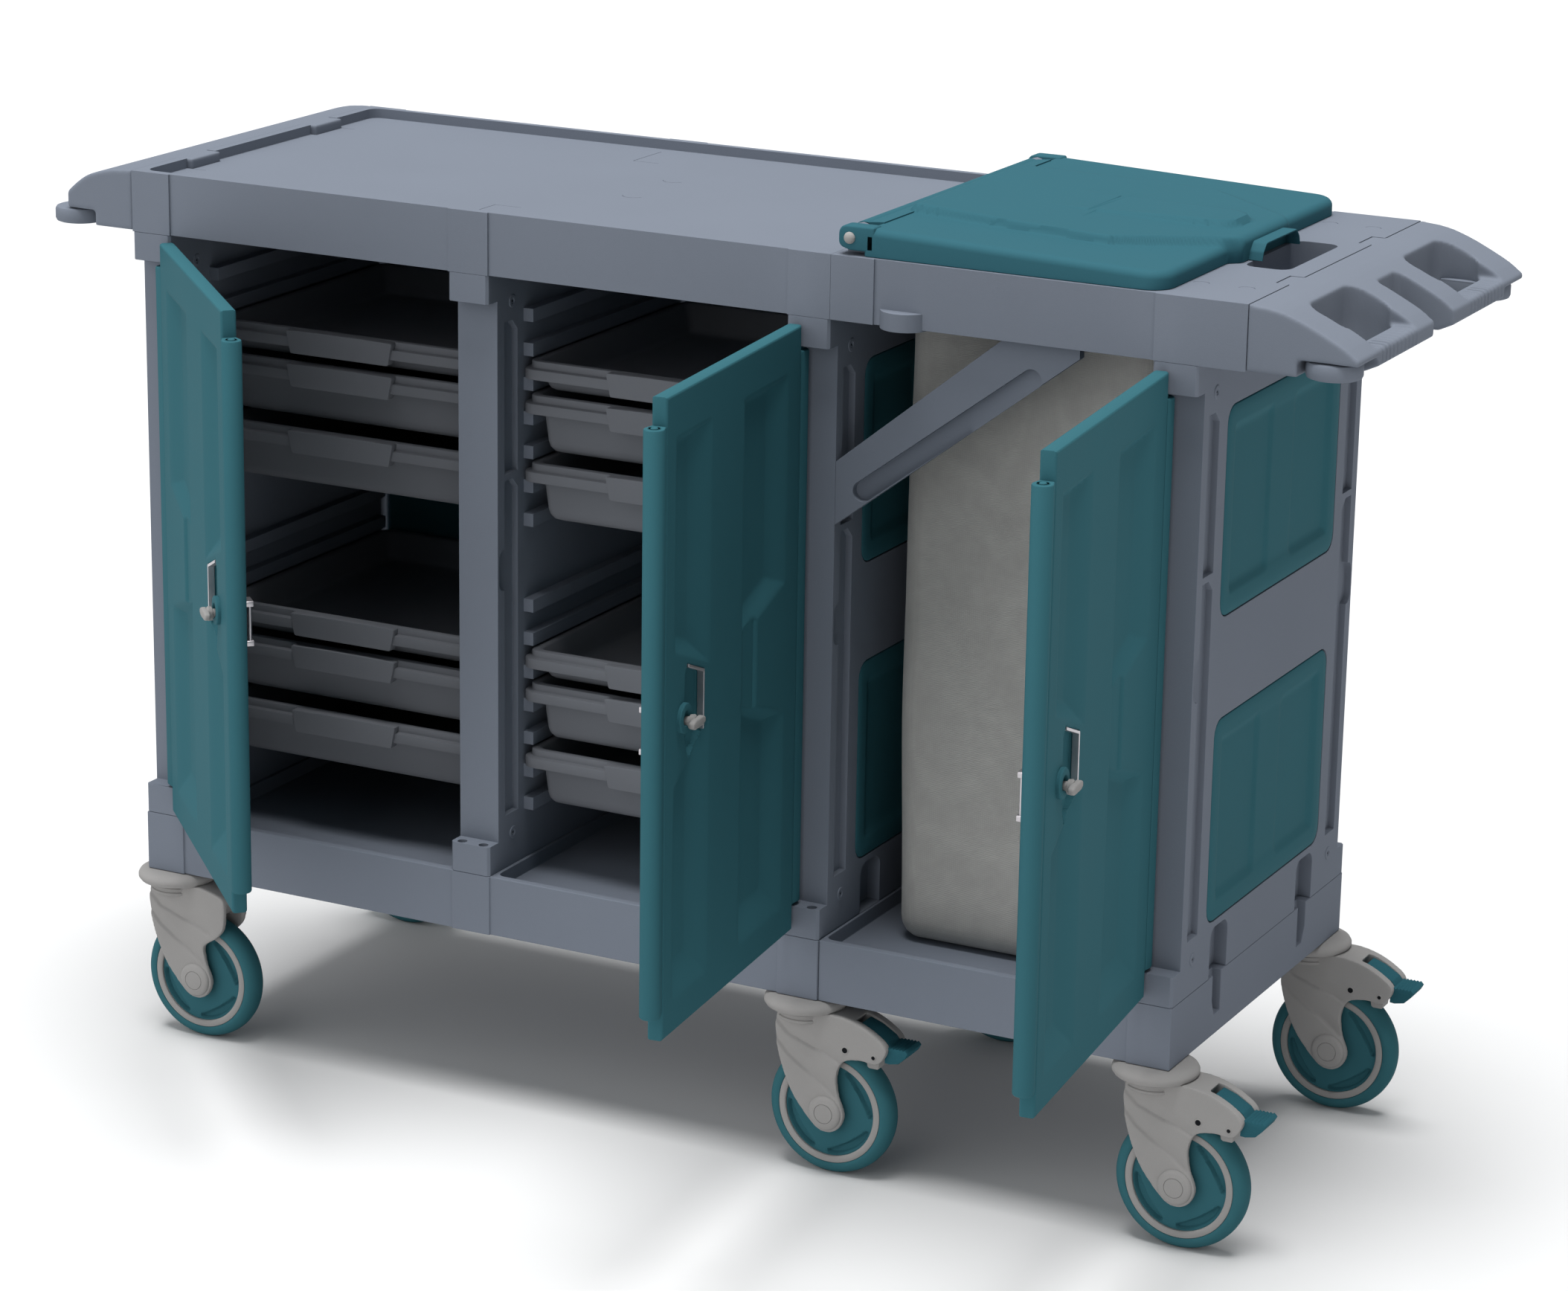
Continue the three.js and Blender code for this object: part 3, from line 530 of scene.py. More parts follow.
def tray_mesh(drop):
    """A thin-walled tray with a stepped rim, its underside at -drop and its rim from 0 to 22."""
    low = min(1, drop / 30)
    outside = [
        (42, -drop), (34, -drop + 0.5), (28, -drop + 3 * low), (24, -drop + 8 * low),
        (22, -drop + 15 * low), (18.6, -1.5), (17.5, 0), (1.4, 0), (0.3, 0.6), (0, 1.8), (0, 11),
        (0.4, 12.4), (1.6, 13.1), (5, 13.3), (6.1, 13.8), (6.4, 15), (6.4, 20.2), (6.9, 21.5),
        (8.2, 22), (13.5, 22), (16, 21.4), (17.6, 19.6),
    ]
    inside = [
        (21.5, 2), (25, -drop + 17 * low), (27, -drop + 10 * low), (31, -drop + 5 * low + 1),
        (37, -drop + 3.2), (45, -drop + 3),
    ]
    rings = []
    for inset, z in outside + inside:
        corner = max(3, 17 - 0.3 * inset)
        plan = rounded_ring(inset, TRAY_WIDTH - inset, inset, TRAY_LENGTH - inset, [corner] * 4)
        rings.append(lifted(plan, "z", z))
    return loft_mesh(rings)


def grip_plate():
    """The raised plate in the middle of a tray's front rim."""
    middle = TRAY_WIDTH / 2
    outline = [
        (middle - 75, 21.4), (middle - 69, -6.5), (middle + 69, -6.5), (middle + 75, 21.4),
        (middle + 30, 22.2), (middle - 30, 22.2),
    ]
    return pushed(filleted(outline, [2, 3, 3, 2, 0, 0], 3), "y", -4, 9, 1.6, 3)


def make_trays():
    trays = {}
    for drop in sorted(set(TRAY_DROPS)):
        parts = [placed("tray", tray_mesh(drop)), grip_plate()]
        trays[drop] = finish_mesh(joined("tray", parts), 40)
    for bay, side in enumerate(("left", "mid")):
        for group, top in enumerate(LEDGE_TOPS):
            for i, (row, drop) in enumerate(zip(TRAY_ROWS, TRAY_DROPS)):
                node = f"tray_{side}_{group * 3 + i + 1}"
                place = (bay * PITCH + BLOCK + 2, TRAY_FRONT, top - row * LEDGE_STEP + GAP)
                stand_for(placed(node + "_shell", trays[drop].data, place), node)
    discard(*trays.values())


make_trays()


# ---- Doors ----
# A door is drawn closed: u runs from the hinge pin to the free edge, v into the bay, z up.
DOOR_START = 13.5
DOOR_HALF = 9
DOOR_LOW, DOOR_TOP = 303, 1020
DOOR_SPAN = PITCH - BLOCK + 24
DOOR_FREE = DOOR_SPAN - DOOR_START
STRIP_LOW, STRIP_TOP = FOOT_TOP + 4, CAP_BOTTOM - 5
PIN_INSET, PIN_Y = 12, 7
KNOB_U, KNOB_Z = 345, 652
LATCH_U, LATCH_Z = DOOR_FREE - 18, 650
WELL_DEPTH = 10
DOOR_ROUND = 3.2
DOOR_STEP = 2.8

# Sunk wells as (outline, width of the slope on each side, depth); a side runs from its corner on.
WELLS = [
    ([(52, 732), (182, 698), (182, 971), (52, 971)], [26, 9, 12, 44], WELL_DEPTH),
    ([(52, 340), (182, 340), (182, 626), (52, 579)], [40, 9, 14, 44], WELL_DEPTH),
    ([(138, 600), (182, 590), (182, 740), (138, 720)], [12, 9, 12, 3], 3.0),
    ([(274, 697), (373, 734), (373, 971), (274, 971)], [20, 9, 12, 46], WELL_DEPTH),
    ([(274, 340), (373, 340), (373, 585), (274, 640)], [40, 9, 16, 46], WELL_DEPTH),
    ([(291, 628), (304, 611), (336, 606), (346, 640), (346, 704), (338, 714), (291, 697)],
     [3, 3, 3, 3, 3, 3, 2], WELL_DEPTH),
]


def well_level(u, z, outline, widths):
    """0 outside a convex outline, 1 on its floor; each side slopes over its own width."""
    level = np.full(u.shape, np.inf)
    for (a0, b0), (a1, b1), width in zip(outline, outline[1:] + outline[:1], widths):
        length = math.hypot(a1 - a0, b1 - b0)
        inward = ((a1 - a0) * (z - b0) - (b1 - b0) * (u - a0)) / length
        level = np.minimum(level, inward / width)
    clipped = np.clip(level, 0, 1)
    return 0.6 * clipped + 0.4 * eased(clipped)


def edge_drop(u, z):
    """How far a face falls away where it rounds over its outer edge."""
    reach = np.minimum.reduce([u - DOOR_START, DOOR_FREE - u, z - DOOR_LOW, DOOR_TOP - z])
    short = np.clip(DOOR_ROUND - reach, 0, DOOR_ROUND)
    return DOOR_ROUND - np.sqrt(DOOR_ROUND**2 - short**2)


def face_lines(low, high, extra):
    """Grid lines across a door: close at the rounded edges and at extra places."""
    fine = [DOOR_ROUND * (1 - math.cos(math.radians(a))) for a in (0, 25, 45, 65, 80, 90)]
    lines = set(np.round([low + f for f in fine] + [high - f for f in fine], 3))
    count = int((high - low - 2 * DOOR_ROUND) / DOOR_STEP)
    lines |= set(np.round(np.linspace(low + DOOR_ROUND, high - DOOR_ROUND, count), 3))
    for place in extra:
        lines |= {place - 1.5, place, place + 1.5}
    ordered = sorted(lines)
    return [a for a, b in zip(ordered, ordered[1:] + [1e9]) if b - a > 0.3]


def door_mesh():
    """A door's panel: sunk wells outside, one shallow sunk field inside."""
    us = np.array(face_lines(DOOR_START, DOOR_FREE, [291, 294, 340, 344]))
    zs = np.array(face_lines(DOOR_LOW, DOOR_TOP, [608, 614, 700, 710]))
    u, z = np.meshgrid(us, zs, indexing="ij")
    outer = np.zeros(u.shape)
    for outline, widths, depth in WELLS:
        outer = np.maximum(outer, depth * well_level(u, z, outline, widths))
    lowest = edge_drop(u, z)
    field = corners(60, DOOR_FREE - 46, DOOR_LOW + 50, DOOR_TOP - 50)
    inner = 2.0 * well_level(u, z, field, [10, 10, 10, 10])
    front = np.stack([u, -DOOR_HALF + np.maximum(outer, lowest), z], -1)
    back = np.stack([u, DOOR_HALF - np.maximum(inner, lowest), z], -1)
    rows, cols = u.shape
    faces = strips(rows, cols, False)
    count = rows * cols
    faces += [tuple(count + k for k in reversed(face)) for face in faces]
    rim = [i * cols for i in range(rows)] + [(rows - 1) * cols + j for j in range(1, cols)]
    rim += [i * cols + cols - 1 for i in range(rows - 2, -1, -1)] + list(range(cols - 2, 0, -1))
    for a, b in zip(rim, rim[1:] + rim[:1]):
        faces.append((a, b, count + b, count + a))
    return new_mesh(np.concatenate([front.reshape(-1, 3), back.reshape(-1, 3)]), faces)


def strip_parts(u, outward, pins):
    """A round strip on a door's edge, its nose outward; pins gives it the pins that it turns on."""
    turns = np.radians(np.arange(-90, 91, 15))
    nose = np.stack([outward * 11.5 * np.cos(turns), 11.8 * np.sin(turns)], 1)
    flat_back = [(-outward * 13, DOOR_HALF - 0.5), (-outward * 13, 0.5 - DOOR_HALF)]
    plan = np.concatenate([nose, flat_back])
    rings = []
    for z, shrink in (
        (STRIP_LOW, 0.90), (STRIP_LOW + 0.6, 0.96), (STRIP_LOW + 2, 1), (STRIP_TOP - 2, 1),
        (STRIP_TOP - 0.6, 0.96), (STRIP_TOP, 0.90),
    ):
        rings.append(lifted(plan * shrink + (u, 0), "z", z))
    parts = [placed("strip", loft_mesh(rings))]
    radius, reach = (4.8, 13.5) if pins else (4.2, 1.2)
    for z, way in ((STRIP_TOP, 1), (STRIP_LOW, -1)):
        pin = [
            (0, z - way), (radius, z - way), (radius, z + way * (reach - 0.8)),
            (radius - 0.8, z + way * reach), (0, z + way * reach),
        ]
        parts.append(turned(pin, "z", 24, (u, 0, 0)))
        if not pins:
            ring = [(6.6, z), (6.6, z + way * 0.5), (7.2, z + way * 0.5), (7.2, z)]
            parts.append(turned(ring + ring[:1], "z", 24, (u, 0, 0)))
    return parts


def boss_object():
    """The round boss that carries the knob, standing in the pocket."""
    face = -DOOR_HALF
    profile = [
        (0, 2), (17, 2), (17, face - 3.5), (16.3, face - 4.7), (15, face - 5), (9, face - 5),
        (8.4, face - 4.2), (8, face - 1), (0, face - 1),
    ]
    return turned(profile, "y", 48, (KNOB_U + 6, 0, KNOB_Z + 5))


def knob_object():
    """A small T-shaped thumb turn on a short stem."""
    face = -DOOR_HALF - 5
    bar = [
        (-17, -3), (-10, -5.5), (10, -5.5), (17, -3), (17, 3), (10, 5.5), (-10, 5.5), (-17, 3),
    ]
    wing = pushed(filleted(bar, 3, 3), "y", face - 13, face - 6, 2.2, 3)
    stem = turned([
        (0, 0), (5.5, 0), (5.5, face - 1), (8, face - 2), (8.6, face - 6), (6.5, face - 8),
        (0, face - 8),
    ], "y", 32)
    return shifted(joined("knob", [wing, stem]), KNOB_U, 0, KNOB_Z)


def angle_strip_object():
    """The bent metal strip along the pocket's upper and inner sides."""
    outline = [(337, 713.5), (291.5, 696), (291.5, 630), (294.2, 628), (294.2, 693.6), (337, 710)]
    bent = filleted(outline, [0, 2, 0, 0, 1.5, 0], 4)
    return pushed(bent, "y", -DOOR_HALF - 0.9, -2, 0.4, 1)


def latch_object():
    """A draw latch on the inner free edge: base plate, hooked frame, roller and knuckles."""
    u, v, middle = LATCH_U, DOOR_HALF, LATCH_Z
    base = filleted(corners(u - 16, u + 14, middle - 31, middle + 31), 4, 4)
    parts = [pushed(base, "y", v - 0.5, v + 1.4, 0.4, 1)]
    for low in (middle - 27, middle + 20):
        lug = filleted(corners(u - 11, u + 11, low, low + 7), 2, 3)
        parts.append(pushed(lug, "y", v + 1, v + 15, 0.8))
    for across, radius, half in ((-6, 3.2, 26), (7, 2.2, 24), (0, 2.0, 18)):
        low, high = middle - half, middle + half
        rod = [(0, low), (radius - 0.5, low), (radius, low + 0.5), (radius, high - 0.5),
               (radius - 0.5, high), (0, high)]
        parts.append(turned(rod, "z", 20, (u + across, v + 11, 0)))
    for low in (middle - 16, middle + 4):
        bow = filleted(corners(u - 9, u + 9, low, low + 12), 3, 3)
        parts.append(pushed(bow, "y", v + 9.5, v + 12.5, 0.8))
    return joined("latch", parts)


def screw_object():
    """A small pan-head screw in the pocket's floor."""
    face, radius = -3, 3.0
    profile = [
        (0, face), (radius, face), (radius, face - 0.5), (radius * 0.75, face - 1.1),
        (radius * 0.3, face - 1.3), (radius * 0.28, face - 0.5), (0, face - 0.5),
    ]
    return turned(profile, "y", 24, (334, 0, 617))


# Name, the block that carries the hinge, hand and how far the door stands open at rest.
DOORS = [("left", 0, 1, 45), ("mid", 2, -1, 96), ("right", 3, -1, 96)]


def make_doors():
    """hand is +1 for a door that closes towards larger x; a mirrored door keeps its outer face."""
    shell = joined("door", [placed("panel", door_mesh())] + strip_parts(0, -1, True)
                   + strip_parts(DOOR_SPAN, 1, False) + [boss_object()])
    knob = knob_object()
    fittings = joined("fittings", [angle_strip_object(), latch_object(), screw_object()])
    for side, bay, hand, angle in DOORS:
        pin_x = bay * PITCH + (BLOCK - PIN_INSET if hand > 0 else PIN_INSET)
        flip = Matrix.Diagonal((hand, 1, 1, 1))
        for source, name, body, slot, nodes, sharp in (
            (shell, "door_panel_", "door_", "teal_panel", ["door_" + side], 30),
            (knob, "door_thumb_turn_", "door_knob_", "caster_grey", ["door_knob_" + side], 40),
            (fittings, "door_latch_", "door_", "latch_metal", [], 30),
        ):
            mesh = source.data.copy()
            mesh.transform(Matrix.Rotation(math.radians(-hand * angle), 4, "Z") @ flip)
            if hand < 0:
                mesh.flip_normals()
            piece = placed(name + side, mesh, (pin_x, PIN_Y, 0))
            finish_mesh(piece, sharp)
            place_piece(piece, body + side, slot, *nodes)
    discard(shell, knob, fittings)


make_doors()


# ---- Casters ----
WHEEL_RADIUS = 80.5
TRAIL = 39
AXLE = (TRAIL, 0, WHEEL_RADIUS)
CASTER_INSET = 27
CASTERS = [
    ("front_left", 0, False), ("rear_left", 0, False), ("front_mid", 2, True),
    ("rear_mid", 2, False), ("front_right", 3, True), ("rear_right", 3, True),
]


def tyre_mesh():
    side = [
        (65.6, 13.2), (66.4, 14.6), (68.5, 15.3), (71.5, 15.1), (74.5, 13.8), (77.2, 11.4),
        (79.2, 8.2), (80.2, 4.5), (80.5, 0),
    ]
    profile = side + [(r, -w) for r, w in reversed(side[:-1])]
    return lathe_mesh(profile + profile[:1], "y", 120)


def rim_mesh():
    """The grey ring between the tyre and the hub, on both sides."""
    side = [(57.6, 9), (57.6, 13.8), (58.4, 14.5), (60, 14.8), (64.5, 14.8), (65.6, 14.2)]
    profile = side + [(r, -w) for r, w in reversed(side)]
    return lathe_mesh(profile + profile[:1], "y", 120)


def hub_mesh():
    """A sunk disc with four curved recesses between narrow spokes."""
    radii = [9, 14, 20, 26, 31, 35, 38, 40, 42, 43.5, 45, 46.5, 48, 50, 52, 53.5, 55, 56, 57, 57.6]
    turns = np.radians(np.arange(0, 360, 3))
    r, a = np.meshgrid(radii, turns, indexing="ij")
    local = (np.degrees(a) + 57 + 45) % 90 - 45
    inner = 43 + 9 * (local / 40) ** 2
    radial = np.minimum((r - inner) / 3, (56.0 - r) / 2.5)
    sunk = 5.0 * eased(np.minimum(radial, (37 - np.abs(local)) / 4))
    level = 12.2 - 1.0 * eased((r - 30) / 26) - sunk
    rows, cols = r.shape
    count = rows * cols
    faces = strips(rows, cols, True)
    faces += [tuple(count + k for k in face) for face in faces]
    for start in (0, count - cols):
        for j in range(cols):
            a0, b0 = start + j, start + (j + 1) % cols
            faces.append((a0, b0, count + b0, count + a0))
    points = [np.stack([r * np.cos(a), way * level, r * np.sin(a)], -1) for way in (-1, 1)]
    return new_mesh(np.reshape(points, (-1, 3)), faces)


LEG = [
    (-23, 200), (-28, 184), (-28, 168), (-24, 146), (-17, 124), (-5, 98), (10, 78), (21, 66),
    (31, 58.5), (43, 56.5), (55, 62), (62, 74), (62, 86), (56.5, 99), (53.5, 112), (52.5, 126),
]
BRAKED_ARM = [
    (55, 138), (60, 147), (70, 152), (85, 154), (103, 153), (112, 160), (117, 171), (113, 179),
    (104, 186), (90, 194), (74, 200), (56, 203.5), (30, 204), (0, 204),
]
PLAIN_ARM = [
    (60, 133), (72, 141), (81, 152), (84, 166), (84.5, 184), (82, 193), (72, 198), (52, 203),
    (30, 204), (0, 204),
]
CREASES = [
    [(-31, 190), (-11, 171), (19, 160), (39, 154), (58, 145)],
    [(-30, 166), (-11, 146), (9, 132), (26, 122), (46, 107), (60, 95)],
]
CHEEK, CHEEK_INSIDE = 26, 18.5
RIVETS = [(64, 164, 3.4), (101, 161.5, 2.3)]


def crease_depth(x, z):
    """Shallow steps that sweep down the cheeks of a fork; 0 away from them."""
    depth = np.zeros(x.shape)
    for line in CREASES:
        nearest = np.full(x.shape, np.inf)
        above = np.zeros(x.shape)
        for (x0, z0), (x1, z1) in zip(line, line[1:]):
            length = math.hypot(x1 - x0, z1 - z0)
            along = np.clip(((x - x0) * (x1 - x0) + (z - z0) * (z1 - z0)) / length**2, 0, 1)
            off = np.hypot(x - x0 - along * (x1 - x0), z - z0 - along * (z1 - z0))
            side = ((x1 - x0) * (z - z0) - (z1 - z0) * (x - x0)) / length
            above = np.where(off < nearest, side, above)
            nearest = np.minimum(nearest, off)
        fade = np.where(above > 0, nearest / 15, nearest / 2.6)
        depth = np.maximum(depth, 2.4 * np.clip(1 - fade, 0, 1) ** 1.5)
    return depth


def crease_shift(points, normals):
    """Sinks the creases into the outer faces of the cheeks."""
    x, y, z = points.T
    outer = eased((np.abs(y) - 20) / 4)
    sunk = -np.sign(y) * outer * crease_depth(x, z)
    return np.stack([0 * x, sunk, 0 * x], 1)


def fork_object(brake):
    outline = curve_through(LEG + (BRAKED_ARM if brake else PLAIN_ARM), 5)
    fork = pushed(outline, "y", -CHEEK, CHEEK)
    inside = CHEEK_INSIDE
    room = [(0, -inside), (84.5, -inside), (84.5, inside), (0, inside)]
    cut_out(fork, turned(room, "y", 72, AXLE))
    cut_out(fork, pushed(corners(0, 200, 20, 120), "y", -inside, inside))
    if brake:
        slot = filleted([(66, 188), (79, 160), (135, 150), (135, 215), (80, 215)], 2, 3)
        cut_out(fork, pushed(slot, "y", -14, 14))
    else:
        mouth = filleted([(60, 150), (100, 150), (100, 184), (74, 184)], [4, 0, 0, 8], 4)
        cut_out(fork, pushed(mouth, "y", -inside, inside))
    moved(remeshed(fork, 1.6, 7), crease_shift)
    flange = [
        (0, 190), (31, 190), (32, 197), (31.5, 199.5), (33, 200.5), (42, 201.5), (47.5, 203.5),
        (50, 207), (50, 210.5), (48, 214), (43, 217), (36, 218), (0, 218),
    ]
    neck = [
        (0, 188), (33, 188), (34.5, 189.5), (34.5, 192), (33.2, 193), (33.2, 194.5),
        (34.2, 195.5), (34.2, 198), (0, 198),
    ]
    parts = [fork, turned(flange, "z", 72), turned(neck, "z", 72)]
    cap = [
        (0, 20), (21, 20), (21, 26.5), (20, 28.4), (17.5, 29.6), (12.2, 30.2), (11.7, 29.4),
        (11.2, 30.2), (6, 30.5), (0, 30.5),
    ]
    for way in (-1, 1):
        parts.append(turned([(r, way * w) for r, w in cap], "y", 48, AXLE))
        for x, z, radius in RIVETS if brake else []:
            rivet = [(0, 20), (radius + 1.4, 20), (radius + 1.4, 26.3), (radius + 0.5, 26.9),
                     (radius, 26.5), (0, 26.5)]
            parts.append(turned([(r, way * w) for r, w in rivet], "y", 24, (x, 0, z)))
    if brake:
        pad = filleted([(86, 141), (100, 141), (101, 150), (96, 156), (84, 153)], 2, 3)
        parts.append(pushed(pad, "y", -10, 10, 1))
    return finish_mesh(joined("fork", parts), 38)


def rivet_shade_object():
    """Near-black discs on the rivets in a braked fork's cheeks: painted shade that stands in for their
    hollow ends.
    """
    parts = []
    for x, z, radius in RIVETS:
        for low, high in ((-26.6, -25), (25, 26.6)):
            hole = [(0, low), (radius, low), (radius, high), (0, high)]
            parts.append(turned(hole, "y", 20, (x, 0, z)))
    return joined("holes", parts)


def insert_object():
    """The grained insert along the top of a braked fork's arm."""
    outline = [(69, 186), (79, 160), (116, 158), (118, 172), (112, 180), (94, 190.5), (78, 196)]
    return finish_mesh(pushed(filleted(outline, [2, 2, 2, 3, 2, 2, 2], 3), "y", -13.4, 13.4, 1.4), 35)


def pedal_object():
    """A ribbed foot pedal that reaches out past the arm."""
    outline = [(112, 155), (118, 154.5), (130, 157), (138, 165), (141.5, 171.5), (139.5, 173.5)]
    for k in range(5):
        rib = 138.5 - k * 4.2
        outline += [(rib - 1, 175.4), (rib - 2.9, 173.6)]
    outline += [(115, 175), (112, 172)]
    plate = pushed(outline, "y", -19, 19, 0.7)
    tongue = filleted([(93, 157), (116, 156), (116, 170), (100, 171), (93, 165)], 3, 3)
    return finish_mesh(joined("pedal", [plate, pushed(tongue, "y", -8, 8, 1)]), 35)


def make_casters():
    forks = [fork_object(False), fork_object(True)]
    insert, pedal, rivet_shade = insert_object(), pedal_object(), rivet_shade_object()
    wheel_parts = (("tyre", tyre_mesh(), "wheel_tread"), ("rim", rim_mesh(), "caster_grey"),
                   ("hub", hub_mesh(), "teal_panel"))
    for place, bay, brake in CASTERS:
        x = bay * PITCH + BLOCK / 2
        y = CASTER_INSET if place.startswith("front") else DEPTH - CASTER_INSET
        stand_for(placed("fork_" + place, forks[brake].data.copy(), (x, y, 0)), "caster_fork_" + place)
        for name, mesh, slot in wheel_parts:
            piece = placed(f"wheel_{name}_{place}", mesh.copy(), (x + TRAIL, y, WHEEL_RADIUS))
            finish_mesh(piece, 35)
            nodes = ["caster_wheel_" + place] if name == "tyre" else []
            place_piece(piece, "wheel_" + place, slot, *nodes)
        if brake:
            # The grained insert, and near-black discs of painted shade on the rivets' hollow ends.
            for name, source, slot in (("fork_insert_", insert, "brake_teal"),
                                       ("fork_rivet_shade_", rivet_shade, "painted_shade")):
                piece = placed(name + place, source.data.copy(), (x, y, 0))
                place_piece(piece, "fork_" + place, slot)
            stand_for(placed("pedal_" + place, pedal.data.copy(), (x, y, 0)), "brake_pedal_" + place)
    discard(*forks, insert, pedal, rivet_shade)


make_casters()


# ---- Lid ----
LID_PIN = (960, 0, 1122)
LID_LOW = DECK_TOP + GAP
LID_START, LID_END, LID_SIDE = 977, 1338, 6
LID_ROUND, LID_SKIN = 9, 5
RIDGE = [(973, 122), (1106, 110), (1231, 106), (1302, 160), (1352, 196)]


def lid_top(x, y):
    """Height of the lid: a sloping plateau, lower borders beside it and a tongue along it."""
    side = np.minimum(y, DEPTH - y)
    beyond = np.full(x.shape, -1e9)
    for (ax, ay), (bx, by) in zip(RIDGE, RIDGE[1:]):
        length = math.hypot(bx - ax, by - ay)
        beyond = np.maximum(beyond, ((by - ay) * (x - ax) - (bx - ax) * (side - ay)) / length)
    plateau = 1143.6 - 0.034 * np.maximum(0, x - 985)
    spread = 53 - 13 * np.clip((x - 1100) / 220, 0, 1)
    off = np.abs(y - MID_Y)
    nose = np.where(x > 1298, np.hypot(x - 1298, np.maximum(off - 12, 0)) - 28, off - spread)
    rise = 7 * eased((x - 1085) / 240)
    tongue = rise * eased(-nose / 7)
    return plateau - 9 * eased((beyond + 4) / 8) + tongue


def lid_ring(inset, drop=0, level=None):
    """A ring round the lid, at a drop below its top or all at one level."""
    radii = [max(28 - inset, 1.5)] * 2 + [max(5 - inset, 1.5)] * 2
    x, y = rounded_ring(LID_START + inset, LID_END - inset, LID_SIDE + inset,
                        DEPTH - LID_SIDE - inset, radii, (96, 68)).T
    middle = eased((y - 182) / 16) * eased((DEPTH - 182 - y) / 16)
    x = x + 13 * middle * np.clip((x - LID_END + 48) / 48, 0, 1)
    z = lid_top(x, y) - drop if level is None else np.full(x.shape, level)
    return np.stack([x, y, z], 1)


def lid_skin():
    """The lid's underside, its rim, its rounded edge and its top, from the inside out and back."""
    rings = [lid_ring(inset, LID_SKIN) for inset in np.arange(176, 12, -6)]
    rings.append(lid_ring(6, 12))
    for inset, lift in ((5, 1), (4.5, 0), (0.6, 0), (0, 0.6)):
        rings.append(lid_ring(inset, level=LID_LOW + lift))
    for degrees in range(0, 91, 15):
        angle = math.radians(degrees)
        inset, drop = LID_ROUND * (1 - math.cos(angle)), LID_ROUND * (1 - math.sin(angle))
        rings.append(lid_ring(inset, drop))
    rings += [lid_ring(inset) for inset in np.arange(12, 178, 2.6)]
    return placed("lid", loft_mesh(rings))


def hood_object():
    """The hood at the lid's free edge: a level plate whose ends turn down."""
    spine = [(214, 1103.5), (217, 1113), (226, 1122.5), (318, 1122.5), (327, 1113), (330, 1103.5)]
    outer = np.array(filleted(spine, [0, 8, 9, 9, 8, 0], 6))
    along = np.gradient(outer, axis=0)
    along /= np.linalg.norm(along, axis=1)[:, None]
    inner = outer + 2.6 * np.stack([along[:, 1], -along[:, 0]], 1)
    low_x, high_x = 1345, 1367
    rings = []
    for a, b in zip(outer, inner):
        section = [
            (low_x, a), (high_x - 1, a), (high_x, (3 * a + b) / 4), (high_x, (a + 3 * b) / 4),
            (high_x - 1, b), (low_x, b),
        ]
        rings.append([(x, *point) for x, point in section])
    return placed("hood", loft_mesh(rings))


def lid_object():
    parts = [lid_skin()]
    ear = filleted([(990, 1108), (960, 1108), (946, 1112), (946, 1136), (990, 1136)],
                   [0, 12, 10, 13.5, 0], 8)
    for low in (LID_SIDE, DEPTH - LID_SIDE - 20):
        parts.append(pushed(ear, "y", low, low + 20, 2.4, 3))
    low, high = 42, DEPTH - 42
    rod = [(0, low), (12.4, low), (13, low + 0.6), (13, high - 0.6), (12.4, high), (0, high)]
    bridge = [(960, 1112), (985, 1112), (985, 1136), (968, 1134.5), (960, 1133)]
    parts += [turned(rod, "y", 40, LID_PIN), pushed(bridge, "y", low, high), hood_object()]
    return finish_mesh(joined("bag_lid_shell", parts), 42)


stand_for(lid_object(), "bag_lid")
PIN_CAP = [
    (0, -5), (5.2, -5), (5.2, -0.5), (6.8, -0.3), (6.8, 0.8), (6.0, 2.6), (4.0, 4.0), (1.8, 4.7),
    (0, 4.8),
]
for place, y, way in (("front", LID_SIDE, -1), ("rear", DEPTH - LID_SIDE, 1)):
    profile = [(radius, y + way * along) for radius, along in PIN_CAP]
    cap = shifted(placed("lid_pin_" + place, lathe_mesh(profile, "y", 32)), *LID_PIN)
    place_piece(finish_mesh(cap), "root", "caster_grey")


# ---- Bag ----
BAG = (991, 1308, 90, 444)
BAG_LOW, BAG_HIGH, BAG_ROUND = BASE_TOP - 16, 1026, 26


def bag_ring(inset, radius):
    x0, x1, y0, y1 = BAG
    return rounded_ring(x0 + inset, x1 - inset, y0 + inset, y1 - inset, [radius] * 4, (44, 38))


